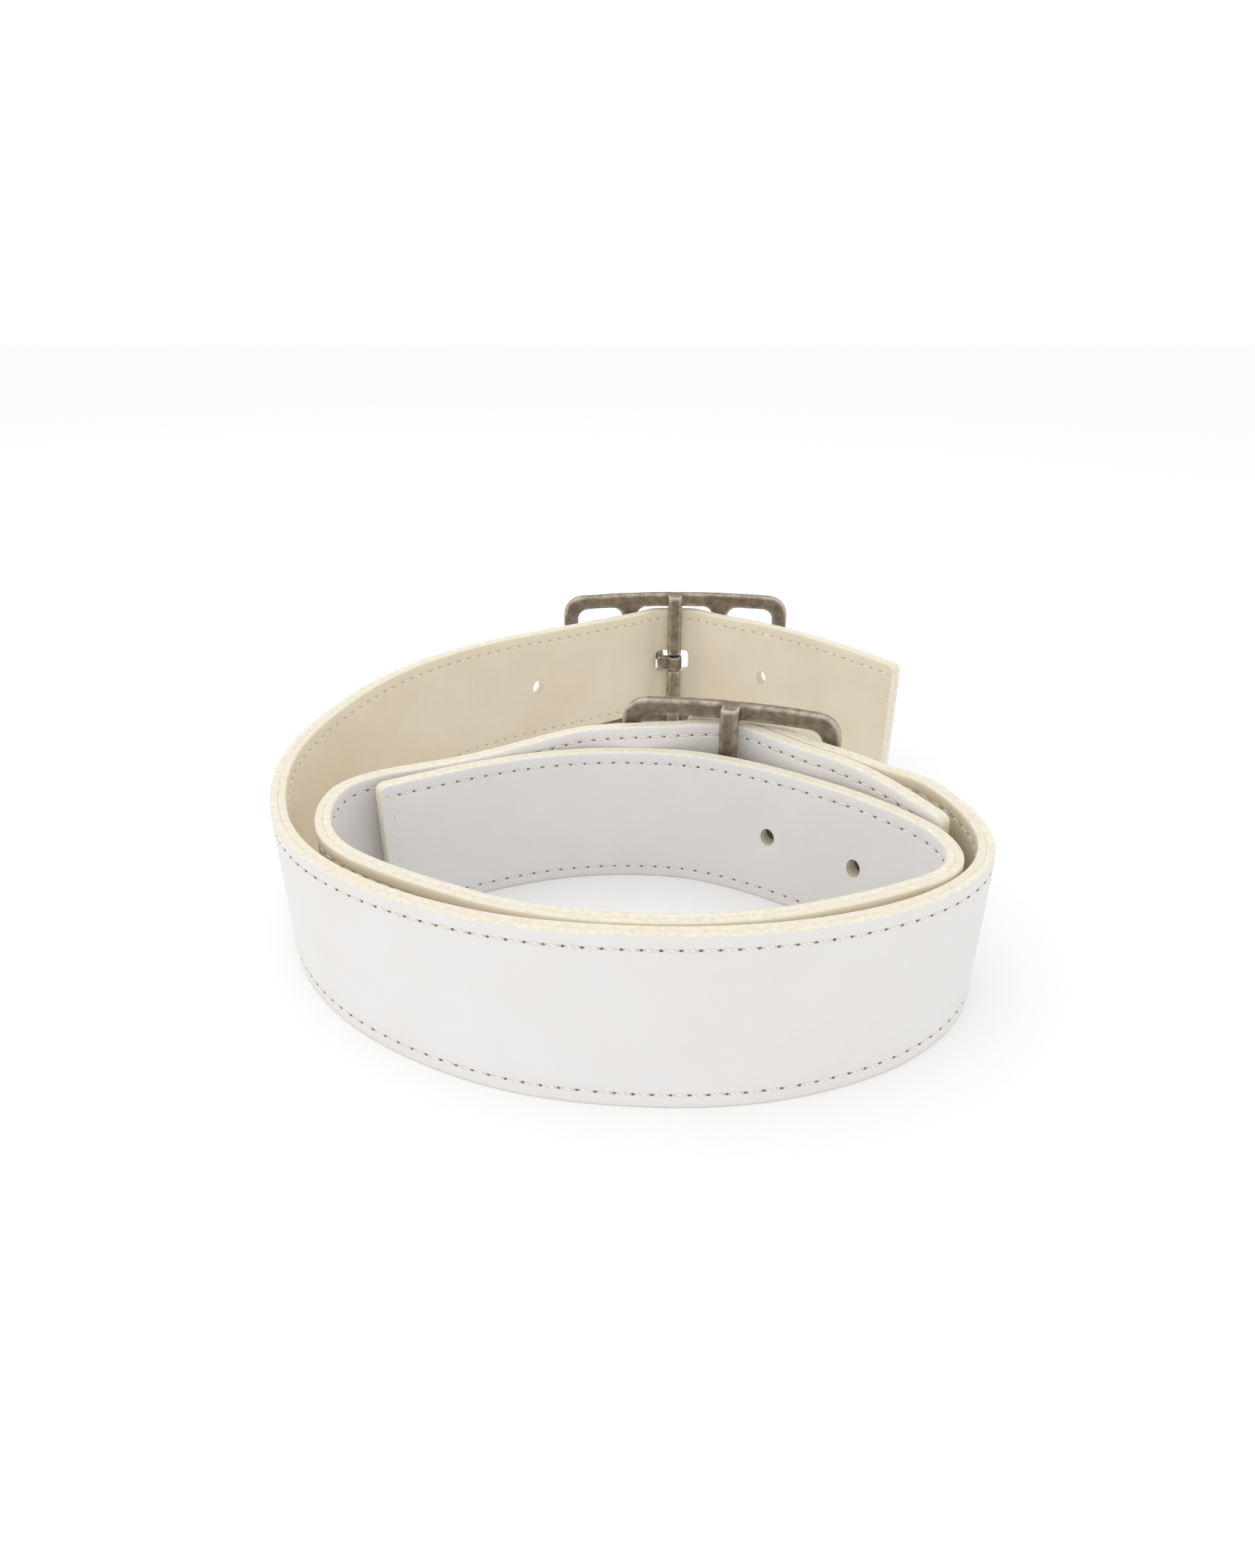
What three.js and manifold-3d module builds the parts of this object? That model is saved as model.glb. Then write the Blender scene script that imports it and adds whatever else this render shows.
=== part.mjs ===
// A lined leather waist belt, standing on its edge in a loose double coil.
// Two straps, each a face leather sewn to a lining, and two slide buckles with tongues.
// Units are millimetres, +Z is up, and the origin is under the middle of the whole belt.
import * as THREE from 'three';
import { mergeVertices } from 'three/addons/utils/BufferGeometryUtils.js';
import Module from 'manifold-3d';

const wasm = await Module();
wasm.setup();

// Leather
const STRAP_WIDTH = 38;
const LEATHER = 1.75;
const BOND_GAP = 0.34;
const STRAP_THICKNESS = 2 * LEATHER + BOND_GAP;
const HOLE_HEIGHT = 5;
const HOLE_LENGTH = 4;

// Sewing thread, sunk in a channel along every edge
const SEAM_INSET = 3;
const THREAD_WIDTH = 0.6;
const THREAD_HEIGHT = 0.4;
const THREAD_GAP = 0.3;
const CHANNEL_WIDTH = THREAD_WIDTH + 2 * THREAD_GAP;
const CHANNEL_DEPTH = THREAD_HEIGHT + THREAD_GAP + 0.05;

// Buckle
const BUCKLE_A_WIDTH = 79;
const BUCKLE_B_WIDTH = 58;
const BAR_WIDTH = 4.8;
const STRAP_PLAY = 1;
const PLATE_THICKNESS = 3;
const PLATE_RADIUS = 115;
const PLATE_SETBACK = 1.5;
const BUCKLE_A_SLOT_HALF = 13.6;
const BUCKLE_B_SLOT_HALF = BUCKLE_B_WIDTH / 2 - BAR_WIDTH;
const INNER_BAR_WIDTH = 5.3;
const CORNER_RADIUS = 6;
const WINDOW_RADIUS = 3.5;
const CENTRE_BAR_WIDTH = 5;
const CENTRE_BAR_DEPTH = 3.2;
const CENTRE_BAR_ROUNDING = 1.1;
const STRAP_GAP = 0.4;
const OPENING_HEIGHT = STRAP_WIDTH + 2 * STRAP_PLAY;
const BUCKLE_HEIGHT = OPENING_HEIGHT + 2 * BAR_WIDTH;
const LIFT = BAR_WIDTH + STRAP_PLAY;

// Tongue
const PIVOT_RADIUS = 1.3;
const PIVOT_GAP = 0.4;
const EYE_WALL = 1.1;
const TONGUE_WIDTH = 4.8;
const TONGUE_THICKNESS = 2.2;
const TONGUE_OVERHANG = 0.9;
const TONGUE_CROWN_END = 13.8;
const TONGUE_STEM = 4.9;
const NECK_PLAY = 0.6;
const SLOT_CLEARANCE = 1.7;

// Coil: widths and depths of the free loops, and the spacing of neighbouring layers
const LOOP_WIDTH = 150;
const LOOP_DEPTH = 88;
const OUTER_REACH = 145.3;
const LAYER_PLAY = 0.5;
const PITCH = STRAP_THICKNESS + LAYER_PLAY;
const FRONT_LEAN = 5.5;
const LOOP_CENTRE = new THREE.Vector2(0, 16);

// How finely bends are stepped
const MAX_TURN = THREE.MathUtils.degToRad(10);
const MAX_STEP = 26;
const PLATE_FACET = 11;

const WHITE_LEATHER = { color: '#e1dfe0', roughness: 0.55, metalness: 0 };
const LINING_LEATHER = { color: '#d5cbb0', roughness: 0.75, metalness: 0 };
const THREAD = { color: '#efece4', roughness: 0.8, metalness: 0 };
const CAST_METAL = { color: '#776c5c', roughness: 0.45, metalness: 1 };

// ---------------------------------------------------------------- solids

function toManifold(geometry) {
  const bare = geometry.index ? geometry.clone() : geometry;
  bare.deleteAttribute('normal');
  bare.deleteAttribute('uv');
  const merged = mergeVertices(bare, 1e-4);
  return new wasm.Manifold(new wasm.Mesh({
    numProp: 3,
    vertProperties: new Float32Array(merged.attributes.position.array),
    triVerts: new Uint32Array(merged.index.array),
  }));
}

function toGeometry(manifold) {
  const mesh = manifold.getMesh();
  const geometry = new THREE.BufferGeometry();
  geometry.setAttribute('position', new THREE.BufferAttribute(new Float32Array(mesh.vertProperties), 3));
  geometry.setIndex(new THREE.BufferAttribute(new Uint32Array(mesh.triVerts), 1));
  geometry.computeVertexNormals();
  return geometry;
}

function makeMesh(name, manifold, finish) {
  const mesh = new THREE.Mesh(toGeometry(manifold), new THREE.MeshStandardMaterial(finish));
  mesh.name = name;
  return mesh;
}

// A plan outline (x, y) raised from z = low to z = high.
function prism(shape, low, high) {
  const geometry = new THREE.ExtrudeGeometry(shape, { depth: high - low, bevelEnabled: false, curveSegments: 5 });
  geometry.translate(0, 0, low);
  return toManifold(geometry);
}

function box(lowX, highX, lowY, highY, lowZ, highZ) {
  const geometry = new THREE.BoxGeometry(highX - lowX, highY - lowY, highZ - lowZ);
  geometry.translate((lowX + highX) / 2, (lowY + highY) / 2, (lowZ + highZ) / 2);
  return toManifold(geometry);
}

// ---------------------------------------------------------------- placing

// A buckle's own frame: x along its length, y outwards through the plate, y = 0 on the outer
// face of the centre bar, where the strap lies.
function placement(x, y, degrees) {
  const angle = THREE.MathUtils.degToRad(degrees);
  const matrix = new THREE.Matrix4().makeRotationZ(angle).setPosition(x, y, 0);
  const at = (localX, localY) => {
    const point = new THREE.Vector3(localX, localY, 0).applyMatrix4(matrix);
    return new THREE.Vector2(point.x, point.y);
  };
  return { matrix, at };
}

// A point of the innermost layer's plan, moved outwards by a number of layers.
function loopPoint(acrossShare, depthShare, layers) {
  const x = acrossShare * LOOP_WIDTH;
  const y = LOOP_CENTRE.y + depthShare * LOOP_DEPTH;
  const out = new THREE.Vector2(x, y).sub(LOOP_CENTRE).normalize();
  return new THREE.Vector2(x, y).addScaledVector(out, layers * PITCH);
}

// ---------------------------------------------------------------- strap routes

// A smooth route guided by its corner points: quadratic curves joined at the edges' middles.
function routeStations(points) {
  const stations = [];
  let start = points[0];
  for (let i = 1; i < points.length - 1; i += 1) {
    const isLast = i === points.length - 2;
    const end = isLast ? points[i + 1] : points[i].clone().add(points[i + 1]).multiplyScalar(0.5);
    const curve = new THREE.QuadraticBezierCurve(start, points[i], end);
    const before = points[i].clone().sub(start);
    const after = end.clone().sub(points[i]);
    const turn = Math.abs(Math.atan2(before.cross(after), before.dot(after)));
    const count = Math.max(1, Math.ceil(turn / MAX_TURN), Math.ceil(curve.getLength() / MAX_STEP));
    for (let k = stations.length ? 1 : 0; k <= count; k += 1) {
      const tangent = curve.getTangent(k / count);
      const point = curve.getPoint(k / count);
      stations.push({ point, tangent, normal: new THREE.Vector2(-tangent.y, tangent.x) });
    }
    start = end;
  }
  let run = 0;
  stations.forEach((station, i) => {
    run += i ? station.point.distanceTo(stations[i - 1].point) : 0;
    station.run = run;
  });
  return stations;
}

function nearestRun(stations, point) {
  let best = stations[0];
  for (const station of stations) {
    if (station.point.distanceTo(point) < best.point.distanceTo(point)) best = station;
  }
  return best.run;
}

// The strap is held up at a buckle and comes down to the ground over the distance fade.
function liftNear(run, hold, flat, fade) {
  const share = THREE.MathUtils.clamp((Math.abs(run - hold) - flat) / fade, 0, 1);
  return LIFT * (1 - THREE.MathUtils.smoothstep(share, 0, 1));
}

// The front of the coil leans back a little: its top edge stands nearer the loop's middle.
function leanOf(station) {
  const towardsFront = station.point.y < LOOP_CENTRE.y ? 1 : 0;
  return towardsFront * FRONT_LEAN * station.normal.y ** 4 * Math.sign(station.normal.y);
}

// A bar swept along a strap: profile points are [across, up], across measured along the normal.
// Every side is split from its lower near corner to its upper far one, so layers stay parallel.
function sweepProfile(stations, profile) {
  const positions = [];
  const index = [];
  const count = profile.length;
  for (const station of stations) {
    for (const [across, up] of profile) {
      const shift = across + station.lean * (up / STRAP_WIDTH - 0.5);
      positions.push(station.point.x + station.normal.x * shift);
      positions.push(station.point.y + station.normal.y * shift);
      positions.push(station.lift + up);
    }
  }
  for (let i = 0; i < stations.length - 1; i += 1) {
    for (let k = 0; k < count; k += 1) {
      const a = i * count + k;
      const b = i * count + ((k + 1) % count);
      const isRising = profile[k][1] < profile[(k + 1) % count][1];
      if (isRising) index.push(a, b, b + count, a, b + count, a + count);
      else index.push(a, b, a + count, b, b + count, a + count);
    }
  }
  const caps = THREE.ShapeUtils.triangulateShape(profile.map(([u, v]) => new THREE.Vector2(u, v)), []);
  const last = (stations.length - 1) * count;
  for (const [a, b, c] of caps) {
    index.push(a, c, b);
    index.push(last + a, last + b, last + c);
  }
  const geometry = new THREE.BufferGeometry();
  geometry.setAttribute('position', new THREE.Float32BufferAttribute(positions, 3));
  geometry.setIndex(index);
  return toManifold(geometry);
}

// The leather's section from its bonded side to its outer side, with a thread channel near each edge.
// side is +1 where the outer side faces along the normal, -1 where it faces against it.
function leatherProfile(side) {
  const inner = BOND_GAP / 2;
  const outer = inner + LEATHER;
  const floor = outer - CHANNEL_DEPTH;
  const half = CHANNEL_WIDTH / 2;
  const lower = SEAM_INSET;
  const upper = STRAP_WIDTH - SEAM_INSET;
  const profile = [
    [inner, 0], [outer, 0],
    [outer, lower - half], [floor, lower - half], [floor, lower + half], [outer, lower + half],
    [outer, upper - half], [floor, upper - half], [floor, upper + half], [outer, upper + half],
    [outer, STRAP_WIDTH], [inner, STRAP_WIDTH],
  ].map(([across, up]) => [side * across, up]);
  return side > 0 ? profile : profile.reverse();
}

function threadProfile(side, height) {
  const top = BOND_GAP / 2 + LEATHER - 0.05;
  const low = top - THREAD_HEIGHT;
  const half = THREAD_WIDTH / 2;
  const profile = [
    [side * low, height - half], [side * top, height - half],
    [side * top, height + half], [side * low, height + half],
  ];
  return side > 0 ? profile : profile.reverse();
}

// The stretch of a strap between two runs, with an exact station at each end.
function stretch(stations, from, to) {
  const between = (run) => {
    const i = Math.max(1, stations.findIndex((station) => station.run >= run));
    const a = stations[i - 1];
    const b = stations[i];
    const t = (run - a.run) / (b.run - a.run);
    const mix = (key) => a[key] + (b[key] - a[key]) * t;
    return {
      point: a.point.clone().lerp(b.point, t),
      tangent: a.tangent.clone().lerp(b.tangent, t).normalize(),
      normal: a.normal.clone().lerp(b.normal, t).normalize(),
      run,
      lift: mix('lift'),
      lean: mix('lean'),
    };
  };
  const inside = stations.filter((station) => station.run > from + 0.5 && station.run < to - 0.5);
  return [between(from), ...inside, between(to)];
}

// ---------------------------------------------------------------- one strap

class Strap {
  constructor(points, holds) {
    this.stations = routeStations(points);
    this.length = this.stations.at(-1).run;
    for (const station of this.stations) {
      station.lift = 0;
      station.lean = leanOf(station);
      for (const { point, flat, fade } of holds) {
        const hold = nearestRun(this.stations, point);
        station.lift = Math.max(station.lift, liftNear(station.run, hold, flat, fade));
      }
    }
  }

  leather(side, cutters) {
    let solid = sweepProfile(this.stations, leatherProfile(side));
    for (const run of this.endRows()) {
      const half = CHANNEL_WIDTH / 2;
      solid = solid.subtract(this.crossBar(run, side, half, CHANNEL_DEPTH, SEAM_INSET - half));
    }
    for (const cutter of cutters) solid = solid.subtract(cutter);
    return solid;
  }

  endRows() {
    return [SEAM_INSET, this.length - SEAM_INSET];
  }

  // A bar across the strap at a run, sunk by depth from the outer side, or a thread lying in it.
  crossBar(run, side, half, depth, margin, top = BOND_GAP / 2 + LEATHER + 0.5) {
    const outer = BOND_GAP / 2 + LEATHER;
    const low = outer - depth;
    const profile = [
      [side * low, margin], [side * top, margin],
      [side * top, STRAP_WIDTH - margin], [side * low, STRAP_WIDTH - margin],
    ];
    const section = side > 0 ? profile : profile.reverse();
    return sweepProfile(stretch(this.stations, run - half, run + half), section);
  }

  // One thread sewn right round the strap: two long rows joined by a row across each end.
  thread(side) {
    const [first, last] = this.endRows();
    const half = THREAD_WIDTH / 2;
    const top = BOND_GAP / 2 + LEATHER - 0.05;
    const depth = LEATHER + BOND_GAP / 2 - (top - THREAD_HEIGHT) - 0.02;
    const rowStations = stretch(this.stations, first - half, last + half);
    let solid = sweepProfile(rowStations, threadProfile(side, SEAM_INSET));
    solid = solid.add(sweepProfile(rowStations, threadProfile(side, STRAP_WIDTH - SEAM_INSET)));
    for (const run of [first, last]) {
      solid = solid.add(this.crossBar(run, side, half - 0.02, depth, SEAM_INSET - half / 2, top - 0.02));
    }
    return solid;
  }

  // A punched oval hole through both leathers, at a distance along the strap.
  holeCutter(run) {
    const station = stretch(this.stations, run - 0.1, run + 0.1)[0];
    const outline = new THREE.Shape();
    outline.absellipse(0, 0, HOLE_LENGTH / 2, HOLE_HEIGHT / 2, 0, Math.PI * 2);
    const geometry = new THREE.ExtrudeGeometry(outline, {
      depth: STRAP_THICKNESS + 2,
      bevelEnabled: false,
      curveSegments: 7,
    });
    geometry.translate(0, 0, -STRAP_THICKNESS / 2 - 1);
    geometry.rotateX(Math.PI / 2);
    geometry.rotateZ(Math.atan2(station.tangent.y, station.tangent.x));
    geometry.translate(station.point.x, station.point.y, station.lift + STRAP_WIDTH / 2);
    return toManifold(geometry);
  }
}

// ---------------------------------------------------------------- buckle

function roundedRectangle(target, lowX, highX, lowZ, highZ, radius) {
  target.moveTo(lowX + radius, lowZ);
  target.lineTo(highX - radius, lowZ);
  target.absarc(highX - radius, lowZ + radius, radius, -Math.PI / 2, 0, false);
  target.lineTo(highX, highZ - radius);
  target.absarc(highX - radius, highZ - radius, radius, 0, Math.PI / 2, false);
  target.lineTo(lowX + radius, highZ);
  target.absarc(lowX + radius, highZ - radius, radius, Math.PI / 2, Math.PI, false);
  target.lineTo(lowX, lowZ + radius);
  target.absarc(lowX + radius, lowZ + radius, radius, Math.PI, Math.PI * 1.5, false);
  return target;
}

// The plate is cut flat and then bent round the body: its ends come forward by x squared over 2 R.
function buckleSag(x) {
  return (x * x) / (2 * PLATE_RADIUS);
}

// The plate has a slot each side of the centre bar and, where it is wide enough, a window beyond.
function bentPlate(width, slotHalf) {
  const half = width / 2;
  const outline = roundedRectangle(new THREE.Shape(), -half, half, 0, BUCKLE_HEIGHT, CORNER_RADIUS);
  const low = BAR_WIDTH;
  const high = BAR_WIDTH + OPENING_HEIGHT;
  const windowNear = slotHalf + INNER_BAR_WIDTH;
  const windowFar = half - BAR_WIDTH;
  const holes = [[-slotHalf, slotHalf]];
  if (windowFar > windowNear) holes.push([-windowFar, -windowNear], [windowNear, windowFar]);
  for (const [near, far] of holes) {
    outline.holes.push(roundedRectangle(new THREE.Path(), near, far, low, high, WINDOW_RADIUS));
  }
  const flat = new THREE.ExtrudeGeometry(outline, { depth: PLATE_THICKNESS, bevelEnabled: false, curveSegments: 4 });
  flat.rotateX(Math.PI / 2);
  flat.translate(0, PLATE_SETBACK + PLATE_THICKNESS, 0);
  return toManifold(flat).refineToLength(PLATE_FACET).warp((vertex) => {
    vertex[1] -= buckleSag(vertex[0]);
  });
}

function centreBar() {
  const halfWidth = CENTRE_BAR_WIDTH / 2;
  const middle = BUCKLE_HEIGHT / 2;
  const neckHalf = TONGUE_WIDTH / 2 + NECK_PLAY;
  const back = PLATE_SETBACK + PLATE_THICKNESS / 2;
  const section = (far) => roundedRectangle(
    new THREE.Shape(), -halfWidth, halfWidth, -CENTRE_BAR_DEPTH, far, CENTRE_BAR_ROUNDING,
  );
  const neck = new THREE.CylinderGeometry(PIVOT_RADIUS, PIVOT_RADIUS, 2 * neckHalf + 2, 16);
  neck.rotateX(Math.PI / 2);
  neck.translate(0, -CENTRE_BAR_DEPTH / 2, middle);
  return [
    prism(section(0), 0.4, middle - neckHalf),
    prism(section(0), middle + neckHalf, BUCKLE_HEIGHT - 0.4),
    prism(section(back), 0.3, BAR_WIDTH),
    prism(section(back), BAR_WIDTH + OPENING_HEIGHT, BUCKLE_HEIGHT - 0.3),
    toManifold(neck),
  ];
}

function buckleFrame(width, slotHalf) {
  return centreBar().reduce((solid, piece) => solid.add(piece), bentPlate(width, slotHalf));
}

// The tongue: an eye round the neck of the centre bar, a stem out through the strap's hole, and
// an arm bent back to rest just clear of the frame's end bar.
function tongue(width) {
  const pivotY = -CENTRE_BAR_DEPTH / 2;
  const middle = BUCKLE_HEIGHT / 2;
  const low = middle - TONGUE_WIDTH / 2;
  const high = middle + TONGUE_WIDTH / 2;
  const holeRadius = PIVOT_RADIUS + PIVOT_GAP;
  const eye = new THREE.Shape();
  eye.absarc(0, pivotY, holeRadius + EYE_WALL, 0, Math.PI * 2, false);
  const bore = new THREE.Shape();
  bore.absarc(0, pivotY, holeRadius, 0, Math.PI * 2, false);
  const reach = width / 2 - TONGUE_OVERHANG;
  const restingY = PLATE_SETBACK + PLATE_THICKNESS - buckleSag(reach) + 0.7 + TONGUE_THICKNESS / 2;
  const crown = 2 * (STRAP_THICKNESS + STRAP_GAP) + STRAP_GAP + TONGUE_THICKNESS / 2;
  const line = [
    new THREE.Vector2(-holeRadius - EYE_WALL / 2, pivotY),
    new THREE.Vector2(-TONGUE_STEM, pivotY),
    new THREE.Vector2(-TONGUE_STEM, crown - 1.5),
    new THREE.Vector2(-TONGUE_STEM - 2.4, crown),
    new THREE.Vector2(-TONGUE_CROWN_END, crown),
    new THREE.Vector2(-(TONGUE_CROWN_END + reach) / 2, (crown + restingY) / 2 + 0.8),
    new THREE.Vector2(-reach, restingY),
  ];
  const arm = prism(stripOutline(line, TONGUE_THICKNESS), low, high);
  return prism(eye, low, high).add(arm).subtract(prism(bore, low - 1, high + 1));
}

// The outline of a strip of even thickness about a bent line, with mitred corners.
function stripOutline(line, thickness) {
  const left = [];
  const right = [];
  line.forEach((point, i) => {
    const before = i ? point.clone().sub(line[i - 1]).normalize() : null;
    const after = i < line.length - 1 ? line[i + 1].clone().sub(point).normalize() : null;
    const a = before ?? after;
    const b = after ?? before;
    const mitre = new THREE.Vector2(-a.y - b.y, a.x + b.x).normalize();
    const reach = thickness / 2 / mitre.dot(new THREE.Vector2(-a.y, a.x));
    left.push(point.clone().addScaledVector(mitre, reach));
    right.push(point.clone().addScaledVector(mitre, -reach));
  });
  return new THREE.Shape([...left, ...right.reverse()]);
}

// The long hole in a strap that the stem of a buckle's tongue passes through.
function tongueSlot(place, frontY) {
  const middle = BUCKLE_HEIGHT / 2;
  const half = TONGUE_WIDTH / 2 + SLOT_CLEARANCE;
  const left = -TONGUE_STEM - TONGUE_THICKNESS / 2 - SLOT_CLEARANCE;
  const right = TONGUE_STEM + SLOT_CLEARANCE / 2;
  return box(left, right, frontY, 3 * STRAP_THICKNESS, middle - half, middle + half).transform(place.matrix.elements);
}

// ---------------------------------------------------------------- layout

const layerOne = STRAP_GAP + STRAP_THICKNESS / 2;
const layerTwo = layerOne + STRAP_THICKNESS + STRAP_GAP;

// Buckle B joins the two straps at the back of the coil. Buckle A stands open behind it.
const buckleB = placement(27, LOOP_CENTRE.y + 0.477 * LOOP_DEPTH, -14);
const buckleA = placement(17, LOOP_CENTRE.y + OUTER_REACH, 0);

// Inner strap: from its free end round the inside, then outside its own start to buckle B.
const innerRoute = [
  loopPoint(-0.41, 0.214, 0),
  loopPoint(-0.28, 0.347, 0),
  loopPoint(-0.093, 0.457, 0),
  loopPoint(0.08, 0.453, 0),
  loopPoint(0.18, 0.393, 0),
  loopPoint(0.28, 0.286, 0),
  loopPoint(0.393, 0.131, 0),
  loopPoint(0.48, -0.068, 0),
  loopPoint(0.46, -0.239, 0),
  loopPoint(0.333, -0.354, 0),
  loopPoint(0.14, -0.457, 0),
  loopPoint(-0.1, -0.442, 0),
  loopPoint(-0.307, -0.272, 0),
  loopPoint(-0.44, -0.102, 0),
  loopPoint(-0.483, 0.102, 0),
  loopPoint(-0.433, 0.256, 1),
  loopPoint(-0.28, 0.347, 1),
  loopPoint(-0.093, 0.465, 1),
  buckleB.at(-31, -5.3),
  buckleB.at(-20, -3.4),
  buckleB.at(-7, layerOne),
  buckleB.at(0, layerOne),
  buckleB.at(5.4, layerOne),
  buckleB.at(20, -8.3),
  buckleB.at(31, -11.6),
  loopPoint(0.395, 0.135, 1.2),
  loopPoint(0.45, 0.01, 1.2),
];

// Outer strap: from its free end through buckle A, round the outside and into buckle B.
const outerRoute = [
  buckleA.at(65.6, -57.4),
  buckleA.at(52, -38.5),
  buckleA.at(34, -17.5),
  buckleA.at(12.8, -3.4),
  buckleA.at(7.4, layerOne + 0.1),
  buckleA.at(0, layerOne + 0.1),
  buckleA.at(-7.4, layerOne + 0.1),
  buckleA.at(-12.8, -3.4),
  buckleA.at(-36, -18.5),
  buckleA.at(-66, -36),
  buckleA.at(-90.5, -64),
  loopPoint(-0.584, 0.511, 0),
  loopPoint(-0.575, 0.193, 0),
  loopPoint(-0.489, -0.125, 0),
  loopPoint(-0.299, -0.325, 1),
  loopPoint(-0.109, -0.442, 1),
  loopPoint(0.134, -0.466, 1),
  loopPoint(0.336, -0.383, 1),
  loopPoint(0.469, -0.225, 1),
  loopPoint(0.515, -0.012, 1),
  loopPoint(0.462, 0.19, 1.2),
  buckleB.at(40, -10.4),
  buckleB.at(31, -7),
  buckleB.at(22, -4.3),
  buckleB.at(7, layerTwo),
  buckleB.at(0, layerTwo),
  buckleB.at(-12.5, layerTwo),
];

const outerStrap = new Strap(outerRoute, [
  { point: buckleA.at(0, layerOne), flat: 90, fade: 110 },
  { point: buckleB.at(0, layerTwo), flat: 18, fade: 60 },
]);
const innerStrap = new Strap(innerRoute, [
  { point: buckleB.at(0, layerOne), flat: 18, fade: 60 },
]);

// Distances of the punched holes, measured along each strap from its free end.
const outerHoles = [54, 148];
const innerHoles = [106, 131];

function strapCutters(strap, runs) {
  return runs.map((run) => strap.holeCutter(run));
}

const outerCutters = [
  ...strapCutters(outerStrap, outerHoles),
  tongueSlot(buckleA, -2.2),
  tongueSlot(buckleB, -2.2),
];
const innerCutters = [
  ...strapCutters(innerStrap, innerHoles),
  tongueSlot(buckleB, -2.2),
];

// ---------------------------------------------------------------- assembly

const belt = new THREE.Group();

function addStrap(prefix, strap, cutters, faceSide) {
  belt.add(makeMesh(`${prefix}_face_leather`, strap.leather(faceSide, cutters), WHITE_LEATHER));
  belt.add(makeMesh(`${prefix}_lining`, strap.leather(-faceSide, cutters), LINING_LEATHER));
  belt.add(makeMesh(`${prefix}_face_thread`, strap.thread(faceSide), THREAD));
  belt.add(makeMesh(`${prefix}_lining_thread`, strap.thread(-faceSide), THREAD));
}

function addBuckle(suffix, place, width, slotHalf) {
  const frame = buckleFrame(width, slotHalf).transform(place.matrix.elements);
  belt.add(makeMesh(`buckle_${suffix}_frame`, frame, CAST_METAL));
  belt.add(makeMesh(`buckle_${suffix}_tongue`, tongue(width).transform(place.matrix.elements), CAST_METAL));
}

addStrap('outer_strap', outerStrap, outerCutters, -1);
addStrap('inner_strap', innerStrap, innerCutters, -1);
addBuckle('a', buckleA, BUCKLE_A_WIDTH, BUCKLE_A_SLOT_HALF);
addBuckle('b', buckleB, BUCKLE_B_WIDTH, BUCKLE_B_SLOT_HALF);

// The whole belt is centred over the origin.
const bounds = new THREE.Box3().setFromObject(belt);
const centre = bounds.getCenter(new THREE.Vector3());
belt.position.set(-centre.x, -centre.y, -bounds.min.z);

export default belt;
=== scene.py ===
"""Looks of a lined leather waist belt that stands on its edge in a loose double coil.

Two straps, each a white face leather sewn to a cream lining, are held by two cast slide
buckles with swinging tongues. Design sizes are in millimetres and become metres when a
piece is placed in the row's frame.
"""

import logging
import math
from dataclasses import dataclass, field
from enum import Enum
from typing import Any, Callable

import bmesh
import bpy
import numpy as np
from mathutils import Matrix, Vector, noise

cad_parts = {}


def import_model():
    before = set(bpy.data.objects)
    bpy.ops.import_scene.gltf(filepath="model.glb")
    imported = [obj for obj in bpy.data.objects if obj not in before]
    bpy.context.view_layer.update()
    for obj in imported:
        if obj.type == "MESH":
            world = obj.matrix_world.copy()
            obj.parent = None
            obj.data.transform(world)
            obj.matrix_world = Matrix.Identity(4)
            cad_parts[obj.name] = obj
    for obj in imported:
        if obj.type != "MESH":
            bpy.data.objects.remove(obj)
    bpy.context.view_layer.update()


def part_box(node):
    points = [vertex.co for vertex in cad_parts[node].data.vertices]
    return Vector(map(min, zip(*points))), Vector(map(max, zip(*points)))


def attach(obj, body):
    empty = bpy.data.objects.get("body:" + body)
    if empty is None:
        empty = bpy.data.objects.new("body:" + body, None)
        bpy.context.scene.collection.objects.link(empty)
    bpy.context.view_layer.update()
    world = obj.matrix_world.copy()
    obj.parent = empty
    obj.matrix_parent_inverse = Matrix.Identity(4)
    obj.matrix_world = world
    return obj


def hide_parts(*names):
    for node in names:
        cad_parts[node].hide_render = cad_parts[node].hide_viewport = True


MM = 0.001
BELT_BODY = "belt"
LOG = logging.getLogger("belt")

# Openings in the straps, in millimetres. A slot's ends are places along its buckle's x.
HOLE_LENGTH = 4.0
HOLE_HEIGHT = 5.0
SLOT_ENDS = (-7.7, 5.75)
SLOT_HEIGHT = 8.2

Point = tuple[float, float]


class Side(Enum):
    """Which way a leather's outer side faces: along the strap's plan normal or against it."""

    WITH_NORMAL = 1
    AGAINST_NORMAL = -1


# ------------------------------------------------------------------ small helpers


def add_node(
    tree: bpy.types.NodeTree, kind: str, inputs: dict[Any, Any] | None = None, **settings: Any
) -> bpy.types.Node:
    """Adds a node with its settings, values and links.

    Args:
        tree: the node tree it goes in.
        kind: the node's type name.
        inputs: socket name or number to a value, or to the output socket that feeds it.
        settings: the node's own properties.

    Returns:
        The new node.
    """
    node = tree.nodes.new(kind)
    for key, value in settings.items():
        setattr(node, key, value)
    for key, value in (inputs or {}).items():
        if isinstance(value, bpy.types.NodeSocket):
            tree.links.new(value, node.inputs[key])
        else:
            node.inputs[key].default_value = value
    return node


def linear(hex_colour: str) -> tuple[float, float, float, float]:
    """Turns an sRGB hex colour into linear red, green, blue and alpha."""
    values = []
    for start in (1, 3, 5):
        share = int(hex_colour[start : start + 2], 16) / 255
        values.append(share / 12.92 if share <= 0.04045 else ((share + 0.055) / 1.055) ** 2.4)
    return (*values, 1.0)


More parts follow.
